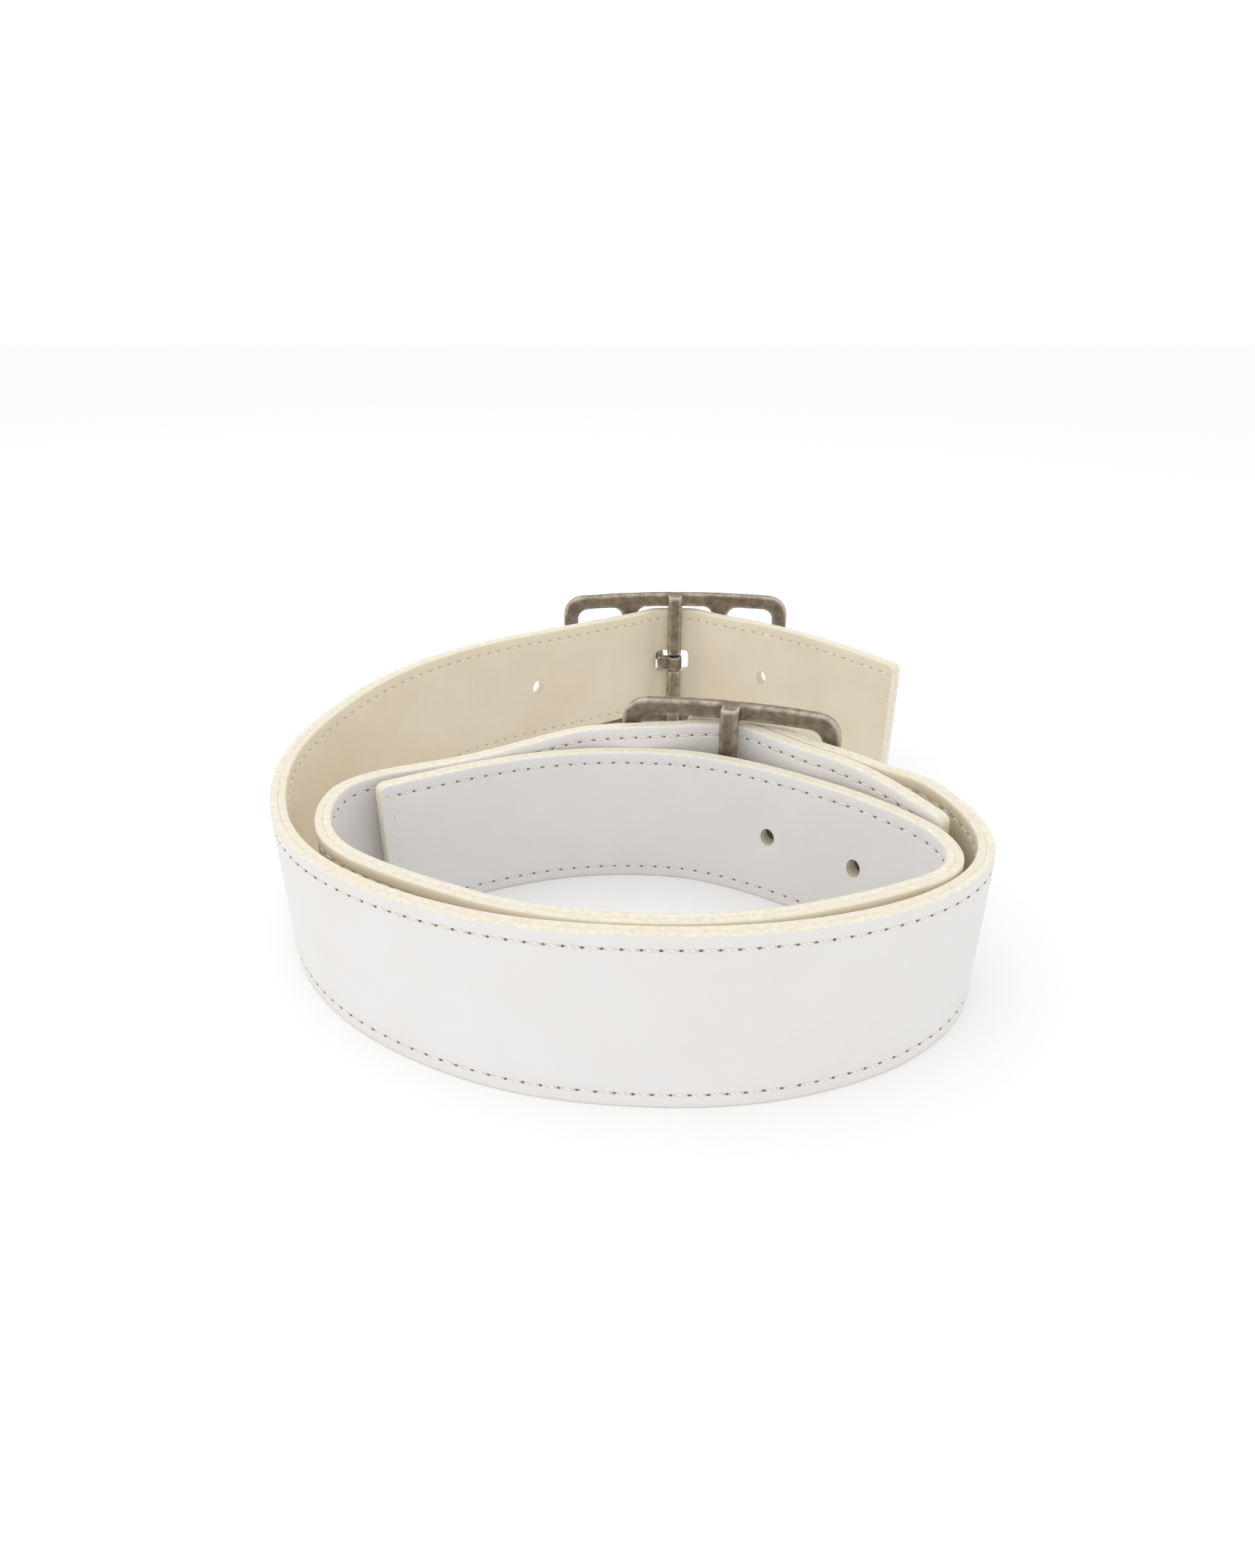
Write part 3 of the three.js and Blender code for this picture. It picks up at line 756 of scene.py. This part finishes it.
@dataclass
class Strap:
    """One sewn strap: a face leather and a lining with a thread on each, bent along its path."""

    name: str
    path: StrapPath
    plan: BeltPlan
    face_side: Side
    openings: list[Opening]
    seam_inset: float = 3.0
    corner: float = 2.2
    edge_round: float = 0.5
    groove: float = 0.2
    row: StitchRow = field(default_factory=StitchRow)

    def profile(self) -> list[Point]:
        """Returns a leather's section, as across and up, from its bonded side round its outer side."""
        inner = 0.02
        outer = self.plan.bond_gap / 2 + self.plan.leather
        r = self.edge_round
        # The cut edge and its rounded corner, up to the flat of the outer side.
        lower = [(inner, 0.1), (outer - 1.9 * r, 0.0), (outer - r, 0.03)]
        lower += [(outer - 0.45 * r, 0.2 * r), (outer - 0.16 * r, 0.55 * r)]
        lower += [(outer - 0.05, 1.1), (outer, 1.9), (outer, 2.35)]
        # The shallow groove that the thread pulls along its seam, as shift and share of its depth.
        for shift, share in ((-0.45, 0.15), (-0.22, 0.8), (0.0, 1.0), (0.22, 0.8), (0.45, 0.15)):
            lower.append((outer - self.groove * share, self.seam_inset + shift))
        lower += [(outer, 3.65), (outer, 4.5), (outer, 6.5), (outer, 9.0), (outer, 11.5), (outer, 14.0), (outer, 16.5)]
        upper = [(across, self.plan.strap_width - up) for across, up in reversed(lower)]
        return lower + [(outer, self.plan.strap_width / 2)] + upper

    def _runs(self) -> np.ndarray:
        """Returns the distances at which the leather's section is repeated, closest by the rounded ends."""
        ends = np.array([0.0, 0.08, 0.25, 0.5, 0.85, 1.3, 1.9, 2.6])
        middle = np.arange(3.6, self.path.length - 3.6, 1.4)
        return np.concatenate((ends, middle, (self.path.length - ends)[::-1]))

    def _flat_leather(self) -> bpy.types.Mesh:
        """Builds a leather laid flat, as run, up and across, with rounded corners and no openings."""
        profile = self.profile()
        runs = self._runs()
        width = self.plan.strap_width
        vertices = []
        for run in runs:
            gap = min(run, self.path.length - run)
            inset = float(self._corner_inset(np.array(gap)))
            thin = 0.22 * max(1 - gap / 0.3, 0.0)
            for across, up in profile:
                spread = inset + up * (width - 2 * inset) / width
                vertices.append((run, spread, max(across - thin, 0.02)))
        count = len(profile)
        faces = [tuple(range(count)), tuple(range(len(vertices) - 1, len(vertices) - count - 1, -1))]
        for i in range(len(runs) - 1):
            for k in range(count):
                a, b = i * count + k, i * count + (k + 1) % count
                faces.append((b, a, a + count, b + count))
        mesh = bpy.data.meshes.new("flat leather")
        mesh.from_pydata(vertices, [], faces)
        shape = bmesh.new()
        shape.from_mesh(mesh)
        bmesh.ops.recalc_face_normals(shape, faces=shape.faces)
        shape.to_mesh(mesh)
        shape.free()
        return mesh

    def _punch(self) -> bpy.types.Mesh:
        """Builds the punches that cut every opening, standing across the flat leather."""
        shape = bmesh.new()
        for opening in self.openings:
            outline = opening.outline(self.plan.strap_width)
            low = [shape.verts.new((run, up, -1.0)) for run, up in outline]
            high = [shape.verts.new((run, up, 4.0)) for run, up in outline]
            shape.faces.new(list(reversed(low)))
            shape.faces.new(high)
            for k, vertex in enumerate(low):
                after = (k + 1) % len(low)
                shape.faces.new((vertex, low[after], high[after], high[k]))
        mesh = bpy.data.meshes.new("punches")
        shape.to_mesh(mesh)
        shape.free()
        return mesh

    def leather(self, name: str, side: Side, finish: bpy.types.Material) -> bpy.types.Object:
        """Builds one leather, punched flat and then bent along the path.

        Args:
            name: the piece's name.
            side: which way its outer side faces.
            finish: its material.

        Returns:
            The finished piece, at the origin.
        """
        flat = mesh_object("flat", self._flat_leather())
        punch = mesh_object("punch", self._punch())
        cut = flat.modifiers.new("Punch", "BOOLEAN")
        cut.operation = "DIFFERENCE"
        cut.solver = "MANIFOLD"
        cut.object = punch
        mesh = evaluated_mesh(flat)
        discard(flat)
        discard(punch)
        places = vertex_array(mesh)
        run, up, across = places.T
        self._write_map(mesh, run, up)
        self._write_edge_gap(mesh, run, up)
        write_vertices(mesh, self._placed(run, up, across * side.value))
        shape = bmesh.new()
        shape.from_mesh(mesh)
        bmesh.ops.recalc_face_normals(shape, faces=shape.faces)
        shape.to_mesh(mesh)
        shape.free()
        smooth_shade(mesh, 50)
        mesh.materials.clear()
        mesh.materials.append(finish)
        mesh.name = name
        return mesh_object(name, mesh)

    def _corner_inset(self, end_gap: np.ndarray) -> np.ndarray:
        """Returns how far the strap's rounded end corners cut in, by distance from its nearer end."""
        short = np.maximum(self.corner - end_gap, 0.0)
        return self.corner - np.sqrt(self.corner**2 - short**2)

    def _write_edge_gap(self, mesh: bpy.types.Mesh, run: np.ndarray, up: np.ndarray) -> None:
        """Writes each vertex's distance from the nearest cut edge, in metres."""
        end_gap = np.clip(np.minimum(run, self.path.length - run), 0.0, None)
        long_gap = np.minimum(up, self.plan.strap_width - up) - self._corner_inset(end_gap)
        gap = np.minimum(long_gap, end_gap)
        for opening in self.openings:
            gap = np.minimum(gap, opening.gap(run, up, self.plan.strap_width))
        attribute = mesh.attributes.new("edge_gap", "FLOAT", "POINT")
        attribute.data.foreach_set("value", np.maximum(gap, 0.0) * MM)

    @staticmethod
    def _write_map(mesh: bpy.types.Mesh, run: np.ndarray, up: np.ndarray) -> None:
        """Writes the strap's UV map, in metres along and up the strap."""
        layer = mesh.uv_layers.new(name="strap")
        corners = np.empty(len(mesh.loops), dtype=np.int64)
        mesh.loops.foreach_get("vertex_index", corners)
        flat = np.stack([run[corners], up[corners]], axis=1) * MM
        layer.data.foreach_set("uv", flat.ravel())

    def _placed(self, run: np.ndarray, up: np.ndarray, across: np.ndarray) -> np.ndarray:
        """Bends flat coordinates onto the path and into the row's frame, in metres."""
        dx, dy = self.plan.offset()
        places = self.path.map(run, up, across)
        return (places + np.array([dx, dy, 0.0])) * MM

    @staticmethod
    def _row(low: float, high: float) -> np.ndarray:
        """Returns even steps of about 0.9 mm from one place to another."""
        return np.linspace(low, high, max(2, math.ceil((high - low) / 0.9)))

    def seam_line(self, side: Side, sink: float, trim: float) -> bpy.types.Mesh:
        """Builds the sewing line round one side: two long rows and one across each end.

        Args:
            side: the side it is sewn on.
            sink: how far below the leather's surface the line lies.
            trim: how far every row stops short at both of its ends.

        Returns:
            Edges with an outward direction on each vertex, in metres.
        """
        width, inset = self.plan.strap_width, self.seam_inset
        height = self.plan.bond_gap / 2 + self.plan.leather - sink
        long_run = self._row(inset + trim, self.path.length - inset - trim)
        short_up = self._row(inset + trim, width - inset - trim)
        rows = [(long_run, np.full_like(long_run, up)) for up in (inset, width - inset)]
        rows += [(np.full_like(short_up, run), short_up) for run in (inset, self.path.length - inset)]
        vertices, edges, outward = [], [], []
        for run, up in rows:
            across = np.full_like(run, height * side.value)
            places = self._placed(run, up, across)
            tips = self._placed(run, up, across + side.value)
            first = len(vertices)
            vertices += places.tolist()
            outward += ((tips - places) / MM).tolist()
            edges += [(first + k, first + k + 1) for k in range(len(run) - 1)]
        mesh = bpy.data.meshes.new("seam")
        mesh.from_pydata(vertices, edges, [])
        attribute = mesh.attributes.new("outward", "FLOAT_VECTOR", "POINT")
        attribute.data.foreach_set("vector", np.array(outward).ravel())
        return mesh

    def sewing(
        self, name: str, side: Side, stitches: StitchTree, holes: StitchTree
    ) -> tuple[bpy.types.Object, bpy.types.Object]:
        """Sews one side.

        Args:
            name: the thread piece's name.
            side: the side it is sewn on.
            stitches: the tree that sets the stitches.
            holes: the tree that sets the needle holes between them, as dots of painted shade.

        Returns:
            The thread piece and the piece of painted needle-hole shade.
        """
        row = self.row
        sink = self.groove * 0.75
        sizes = (row.pitch, row.stitch_length, row.stitch_width, row.stitch_height)
        thread = stitches.sew("thread line", self.seam_line(side, sink, 0.0), sizes, row.seed)
        sizes = (row.pitch, row.hole_length, row.hole_width, row.hole_height)
        shade_dots = holes.sew("hole line", self.seam_line(side, sink, row.pitch / 2), sizes, row.seed + 1)
        return mesh_object(name, thread), mesh_object(f"{name}_needle_holes", shade_dots)


# ------------------------------------------------------------------ buckles


def rounded_outline(low_x: float, high_x: float, low_z: float, high_z: float, radius: float) -> list[Point]:
    """Returns a rectangle's outline with round corners, as x and height."""
    corners = (
        (high_x - radius, low_z + radius, -90), (high_x - radius, high_z - radius, 0),
        (low_x + radius, high_z - radius, 90), (low_x + radius, low_z + radius, 180),
    )
    points = []
    for x, z, start in corners:
        for k in range(9):
            angle = math.radians(start + 90 * k / 8)
            points.append((x + radius * math.cos(angle), z + radius * math.sin(angle)))
    return points


def bevelled_plate(outlines: list[list[Point]], low: float, high: float, bevel: float) -> bpy.types.Mesh:
    """Makes a plate with rounded edges from flat outlines, the first of them its rim.

    Args:
        outlines: the rim and then each opening, as x and height.
        low: where the plate starts.
        high: where it ends.
        bevel: how far its edges are rounded.

    Returns:
        A mesh whose x and y are the outline's and whose z is its thickness, in millimetres.
    """
    curve = bpy.data.curves.new("plate", "CURVE")
    curve.dimensions = "2D"
    curve.fill_mode = "BOTH"
    curve.extrude = (high - low) / 2 - bevel
    curve.bevel_depth = bevel
    curve.bevel_resolution = 3
    curve.offset = -bevel
    for outline in outlines:
        spline = curve.splines.new("POLY")
        spline.points.add(len(outline) - 1)
        for point, (x, y) in zip(spline.points, outline):
            point.co = (x, y, 0, 1)
        spline.use_cyclic_u = True
    piece = mesh_object("plate", curve)
    mesh = evaluated_mesh(piece)
    discard(piece)
    shape = bmesh.new()
    shape.from_mesh(mesh)
    bmesh.ops.remove_doubles(shape, verts=shape.verts, dist=1e-4)
    bmesh.ops.translate(shape, verts=shape.verts, vec=(0, 0, (low + high) / 2))
    shape.to_mesh(mesh)
    shape.free()
    return mesh


@dataclass
class Casting:
    """A rough shape refined into a soft-edged casting with an uneven skin and rubbed edges."""

    voxel: float = 0.42
    smoothing: int = 5
    unevenness: float = 0.07

    def refine(
        self,
        name: str,
        parts: list[bpy.types.Mesh],
        finish: bpy.types.Material,
        place: Callable[[np.ndarray], np.ndarray],
    ) -> bpy.types.Object:
        """Fuses shapes into one cast piece and places it.

        Args:
            name: the piece's name.
            parts: closed meshes in the buckle's own frame, in millimetres.
            finish: its material.
            place: turns places in the buckle's own frame into the row's frame, in metres.

        Returns:
            The finished piece, at the origin.
        """
        shape = bmesh.new()
        for part in parts:
            shape.from_mesh(part)
        joined = bpy.data.meshes.new("rough casting")
        shape.to_mesh(joined)
        shape.free()
        rough = mesh_object("rough casting", joined)
        remesh = rough.modifiers.new("Fuse", "REMESH")
        remesh.mode = "VOXEL"
        remesh.voxel_size = self.voxel
        soften = rough.modifiers.new("Soften", "SMOOTH")
        soften.factor = 0.5
        soften.iterations = self.smoothing
        mesh = evaluated_mesh(rough)
        discard(rough)
        self._roughen(mesh)
        self._mark_wear(mesh)
        write_vertices(mesh, place(vertex_array(mesh)))
        mesh.shade_smooth()
        mesh.materials.clear()
        mesh.materials.append(finish)
        mesh.name = name
        return mesh_object(name, mesh)

    def _roughen(self, mesh: bpy.types.Mesh) -> None:
        """Moves the skin in and out a little, as sand and hand finishing leave it."""
        places, normals = vertex_array(mesh), normal_array(mesh)
        swell = np.array([noise.fractal(Vector(place) / 5.0, 1.0, 2.0, 3) for place in places])
        write_vertices(mesh, places + normals * (swell * self.unevenness)[:, None])

    @staticmethod
    def _mark_wear(mesh: bpy.types.Mesh) -> None:
        """Writes how proud each vertex stands of its neighbours, from 0 to 1."""
        places = vertex_array(mesh)
        normals = normal_array(mesh)
        ends = np.empty(len(mesh.edges) * 2, dtype=np.int64)
        mesh.edges.foreach_get("vertices", ends)
        a, b = ends.reshape(-1, 2).T
        count = np.bincount(np.concatenate((a, b)), minlength=len(places))[:, None]
        total = np.zeros_like(places)
        np.add.at(total, a, places[b])
        np.add.at(total, b, places[a])
        proud = np.einsum("ij,ij->i", places - total / count, normals)[:, None]
        for _ in range(4):
            spread = np.zeros_like(proud)
            np.add.at(spread, a, proud[b])
            np.add.at(spread, b, proud[a])
            proud = 0.4 * proud + 0.6 * spread / count
        wear = np.clip(proud[:, 0] / 0.035, 0, 1)
        attribute = mesh.attributes.new("wear", "FLOAT", "POINT")
        attribute.data.foreach_set("value", wear)


@dataclass
class Buckle:
    """A cast slide buckle: a bowed plate frame with a centre bar, and a tongue that swings on it."""

    suffix: str
    plan: BeltPlan
    place: Placement
    width: float
    slot_half: float
    inner_bar: float = 5.3
    corner: float = 6.0
    window_corner: float = 3.5
    bow_radius: float = 115.0
    bar_width: float = 5.0
    bar_depth: float = 3.2
    edge: float = 0.75
    neck_radius: float = 1.3
    neck_half: float = 3.0
    tongue_width: float = 4.8
    tongue_thickness: float = 2.2
    tongue_stem: float = 4.9
    tongue_overhang: float = 0.9
    crown_end: float = 13.8
    eye_gap: float = 0.4
    eye_wall: float = 1.1

    def _sag(self, x: np.ndarray | float) -> np.ndarray | float:
        """Returns how far the bowed plate has come forward at a distance from its middle."""
        return x * x / (2 * self.bow_radius)

    def _in_row(self, places: np.ndarray) -> np.ndarray:
        """Turns places in the buckle's own frame, in millimetres, into the row's frame in metres."""
        dx, dy = self.plan.offset()
        angle = math.radians(self.place.degrees)
        x, y, z = places.T
        return np.stack(
            [
                self.place.x + dx + x * math.cos(angle) - y * math.sin(angle),
                self.place.y + dy + x * math.sin(angle) + y * math.cos(angle),
                z,
            ],
            axis=1,
        ) * MM

    def _plate(self) -> bpy.types.Mesh:
        """Builds the bowed plate with its slot and, where it is wide enough, its side windows."""
        half, height = self.width / 2, self.plan.buckle_height
        low, high = self.plan.bar, height - self.plan.bar
        outlines = [rounded_outline(-half, half, 0, height, self.corner)]
        spans = [(-self.slot_half, self.slot_half)]
        near, far = self.slot_half + self.inner_bar, half - self.plan.bar
        if far > near:
            spans += [(-far, -near), (near, far)]
        outlines += [rounded_outline(start, end, low, high, self.window_corner) for start, end in spans]
        setback = self.plan.plate_setback
        mesh = bevelled_plate(outlines, setback, setback + self.plan.plate, self.edge)
        shape = bmesh.new()
        shape.from_mesh(mesh)
        for x in np.arange(-half + 2, half, 2.0):
            parts = list(shape.verts) + list(shape.edges) + list(shape.faces)
            bmesh.ops.bisect_plane(shape, geom=parts, plane_co=(x, 0, 0), plane_no=(1, 0, 0))
        for vertex in shape.verts:
            x, z, y = vertex.co
            vertex.co = (x, y - self._sag(x), z)
        bmesh.ops.recalc_face_normals(shape, faces=shape.faces)
        shape.to_mesh(mesh)
        shape.free()
        return mesh

    def _bar(self, low_z: float, high_z: float, back: float) -> bpy.types.Mesh:
        """Builds a stretch of the centre bar, rounded along its length."""
        half = self.bar_width / 2
        outline = rounded_outline(-half, half, -self.bar_depth, back, 1.1)
        return bevelled_plate([outline], low_z, high_z, 0.3)

    def _neck(self) -> bpy.types.Mesh:
        """Builds the round neck that the tongue's eye turns on."""
        middle = self.plan.buckle_height / 2
        outline = [
            (self.neck_radius * math.cos(t), -self.bar_depth / 2 + self.neck_radius * math.sin(t))
            for t in np.linspace(0, 2 * math.pi, 24, endpoint=False)
        ]
        reach = self.neck_half + 1
        return bevelled_plate([outline], middle - reach, middle + reach, 0.05)

    def frame(self, finish: bpy.types.Material) -> bpy.types.Object:
        """Builds the frame with its centre bar.

        Args:
            finish: its material.

        Returns:
            The finished frame.
        """
        height, bar = self.plan.buckle_height, self.plan.bar
        middle = height / 2
        back = self.plan.plate_setback + self.plan.plate / 2
        parts = [
            self._plate(),
            self._bar(0.4, middle - self.neck_half, 0.0),
            self._bar(middle + self.neck_half, height - 0.4, 0.0),
            self._bar(0.3, bar, back),
            self._bar(height - bar, height - 0.3, back),
            self._neck(),
        ]
        return Casting().refine(f"buckle_{self.suffix}_casting", parts, finish, self._in_row)

    def _tongue_line(self) -> list[Vector]:
        """Returns the middle line of the tongue, from its eye to its tip."""
        reach = self.width / 2 - self.tongue_overhang
        pivot = -self.bar_depth / 2
        rest = self.plan.plate_setback + self.plan.plate - self._sag(reach) + 0.7 + self.tongue_thickness / 2
        crown = 2 * (self.plan.thickness + self.plan.strap_gap) + self.plan.strap_gap + self.tongue_thickness / 2
        start = self.neck_radius + self.eye_gap + self.eye_wall / 2
        corners = [
            (-start, pivot), (-self.tongue_stem, pivot), (-self.tongue_stem, crown - 1.5),
            (-self.tongue_stem - 2.4, crown), (-self.crown_end, crown),
            (-(self.crown_end + reach) / 2, (crown + rest) / 2 + 0.8), (-reach, rest),
        ]
        return [Vector(corner) for corner in corners]

    def tongue(self, finish: bpy.types.Material) -> bpy.types.Object:
        """Builds the tongue: an eye, a stem through the strap and an arm to the end bar.

        Args:
            finish: its material.

        Returns:
            The finished tongue.
        """
        line = self._tongue_line()
        half = self.tongue_thickness / 2
        left, right = [], []
        for i, point in enumerate(line):
            before = (point - line[i - 1]).normalized() if i else None
            after = (line[i + 1] - point).normalized() if i < len(line) - 1 else None
            a, b = before or after, after or before
            mitre = Vector((-a.y - b.y, a.x + b.x)).normalized()
            reach = half / mitre.dot(Vector((-a.y, a.x)))
            left.append(point + mitre * reach)
            right.append(point - mitre * reach)
        arm = [tuple(point) for point in left + right[::-1]]
        low = self.plan.buckle_height / 2 - self.tongue_width / 2
        high = low + self.tongue_width
        pivot = -self.bar_depth / 2
        rings = []
        for radius in (self.neck_radius + self.eye_gap + self.eye_wall, self.neck_radius + self.eye_gap):
            turns = np.linspace(0, 2 * math.pi, 32, endpoint=False)
            rings.append([(radius * math.cos(t), pivot + radius * math.sin(t)) for t in turns])
        parts = [bevelled_plate([arm], low, high, 0.35), bevelled_plate(rings, low, high, 0.2)]
        casting = Casting(voxel=0.28, smoothing=3, unevenness=0.03)
        return casting.refine(f"buckle_{self.suffix}_swing_tongue", parts, finish, self._in_row)


# ------------------------------------------------------------------ studio


@dataclass
class Studio:
    """A white floor, soft lights and the camera that looks down on the coil from the front."""

    camera_back: float = 175.0
    camera_height: float = 146.0
    camera_pitch: float = 27.114
    lens: float = 22.109
    floor_half: float = 3.0

    def floor(self, finish: bpy.types.Material) -> bpy.types.Object:
        """Builds the floor, which isn't part of the object."""
        half = self.floor_half
        mesh = bpy.data.meshes.new("floor")
        mesh.from_pydata([(-half, -half, 0), (half, -half, 0), (half, half, 0), (-half, half, 0)], [], [(0, 1, 2, 3)])
        mesh.materials.append(finish)
        piece = mesh_object("floor", mesh)
        return piece

    def camera(self, plan: BeltPlan) -> None:
        """Sets the camera up."""
        dx, dy = plan.offset()
        data = bpy.data.cameras.new("camera")
        data.lens = self.lens
        data.sensor_width = 36.0
        data.clip_start = 0.01
        camera = bpy.data.objects.new("camera", data)
        camera.location = (dx * MM, (dy - self.camera_back) * MM, self.camera_height * MM)
        camera.rotation_euler = (math.radians(90 - self.camera_pitch), 0, 0)
        bpy.context.scene.collection.objects.link(camera)
        bpy.context.scene.camera = camera

    def lights(self) -> None:
        """Sets up an even white surround and two large soft lights."""
        world = bpy.data.worlds.new("studio")
        world.use_nodes = True
        background = world.node_tree.nodes["Background"]
        background.inputs["Color"].default_value = (1, 1, 1, 1)
        background.inputs["Strength"].default_value = 1.0
        bpy.context.scene.world = world
        for name, place, size, power in (
            ("overhead softbox", (-0.25, 0.05, 0.9), 1.0, 1.1),
            ("side softbox", (-0.7, -0.5, 0.6), 0.7, 0.5),
        ):
            data = bpy.data.lights.new(name, "AREA")
            data.size = size
            data.energy = power
            light = bpy.data.objects.new(name, data)
            light.location = place
            light.rotation_euler = (-Vector(place)).to_track_quat("-Z", "Y").to_euler()
            bpy.context.scene.collection.objects.link(light)
        bpy.context.scene.view_settings.view_transform = "Standard"


# ------------------------------------------------------------------ assembly

# Cowhide with a white pigment coat: a smooth, slightly cool white with a soft low sheen and
# faint creases, over a cream core that shows where it is cut.
COATED_WHITE = LeatherFinish(
    "pigment coated cowhide, white", "#e7e5e4", "#e2dfdb", "#eee8d8", 0.5, 38.0, 0.55, 0.10, 0.02
)
# Uncoated vegetable tanned lining: warm cream, matt, and cloudier where hands have darkened it.
VEGETABLE_CREAM = LeatherFinish(
    "vegetable tanned lining leather, cream", "#e8dec9", "#dfd2b9", "#ece5d3", 0.72, 30.0, 0.45, 0.10, 0.03
)
# Twisted polyester thread: off-white and matt. Its plies are drawn coarser than they are, so that they show, and the
# darker hollow colour between them is painted shade.
WAXED_THREAD = ThreadFinish("waxed polyester thread, off-white", "#f0eee7", "#dcd7ca", 0.75, 0.35)
# Needle holes are painted shade: small dark dots in the white coat and tan ones in the lining.
FACE_HOLE_SHADE = ThreadFinish("needle hole in the coated face, in shadow", "#867c6b", "#685f53", 1.0, 0.35)
LINING_HOLE_SHADE = ThreadFinish("needle hole in the lining, in shadow", "#c9bda3", "#b8ab90", 1.0, 0.35)
# Cast zinc alloy with a bronze patina: brown-grey and cloudy, with paler rubbed rims.
ANTIQUE_METAL = CastMetalFinish(
    "zinc alloy casting, antique bronze patina", "#74695a", "#978a78", "#c6bbac", 0.46, 2.6, 0.6
)
# Matt paper: an even white that takes only soft shadows.
STUDIO_PAPER = StudioPaperFinish("matt white studio paper", "#fafafa")


def build_straps(plan: BeltPlan) -> None:
    """Builds and claims every leather and seam of both straps.

    Args:
        plan: the belt's shared sizes and layout.
    """
    white, cream = COATED_WHITE.build(), VEGETABLE_CREAM.build()
    stitches = StitchTree("stitches", WAXED_THREAD.build())
    face_hole_shade = StitchTree("face needle holes", FACE_HOLE_SHADE.build())
    lining_hole_shade = StitchTree("lining needle holes", LINING_HOLE_SHADE.build())
    a, b = plan.buckle_a, plan.buckle_b
    outer_path = StrapPath(
        plan, plan.outer_route(), [Hold(a.at(0, plan.layer_one), 90, 110), Hold(b.at(0, plan.layer_two), 18, 60)]
    )
    inner_path = StrapPath(plan, plan.inner_route(), [Hold(b.at(0, plan.layer_one), 18, 60)])
    straps = (
        Strap("outer_strap", outer_path, plan, Side.AGAINST_NORMAL, [
            punched(54.0), punched(148.0),
            slot(outer_path, a.at(0, plan.layer_one), -1), slot(outer_path, b.at(0, plan.layer_two), -1),
        ]),
        Strap("inner_strap", inner_path, plan, Side.AGAINST_NORMAL, [
            punched(106.0), punched(131.0), slot(inner_path, b.at(0, plan.layer_one), 1),
        ]),
    )
    for strap in straps:
        sides = (
            ("face", strap.face_side, white, face_hole_shade, "face_leather", "face_leather"),
            ("lining", Side(-strap.face_side.value), cream, lining_hole_shade, "lining_leather", "lining"),
        )
        for label, side, finish, holes, slot_name, node in sides:
            leather = strap.leather(f"{strap.name}_{label}_hide", side, finish)
            claim(leather, BELT_BODY, (f"{strap.name}_{node}",))
            thread, shade_dots = strap.sewing(f"{strap.name}_{label}_stitches", side, stitches, holes)
            claim(thread, BELT_BODY, (f"{strap.name}_{label}_thread",))
            claim(shade_dots, BELT_BODY, ())


def punched(run: float) -> Opening:
    """Returns a punched adjustment hole, by its distance from the strap's free end."""
    return Opening(run - HOLE_LENGTH / 2, run + HOLE_LENGTH / 2, HOLE_HEIGHT)


def slot(path: StrapPath, point: Point, heading: int) -> Opening:
    """Returns the slot that a tongue's stem passes through.

    Args:
        path: the strap's path.
        point: the plan point where the strap crosses the centre bar.
        heading: 1 where the strap runs along the buckle's x, -1 where it runs against it.

    Returns:
        The slot.
    """
    run = path.run_near(point)
    ends = sorted(run + heading * end for end in SLOT_ENDS)
    return Opening(ends[0], ends[1], SLOT_HEIGHT)


def build_buckles(plan: BeltPlan) -> None:
    """Builds and claims both buckles' frames and tongues.

    Args:
        plan: the belt's shared sizes and layout.
    """
    metal = ANTIQUE_METAL.build()
    buckles = (
        Buckle("a", plan, plan.buckle_a, width=79.0, slot_half=13.6),
        Buckle("b", plan, plan.buckle_b, width=58.0, slot_half=24.2),
    )
    for buckle in buckles:
        claim(buckle.frame(metal), BELT_BODY, (f"buckle_{buckle.suffix}_frame",))
        claim(buckle.tongue(metal), f"tongue_{buckle.suffix}", (f"buckle_{buckle.suffix}_tongue",))


def main() -> None:
    """Builds the whole scene in order."""
    logging.basicConfig(level=logging.INFO, format="%(name)s %(relativeCreated)d ms: %(message)s")
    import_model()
    plan = BeltPlan()
    build_straps(plan)
    build_buckles(plan)
    studio = Studio()
    studio.floor(STUDIO_PAPER.build())
    studio.camera(plan)
    studio.lights()


if __name__ == "__main__":
    main()
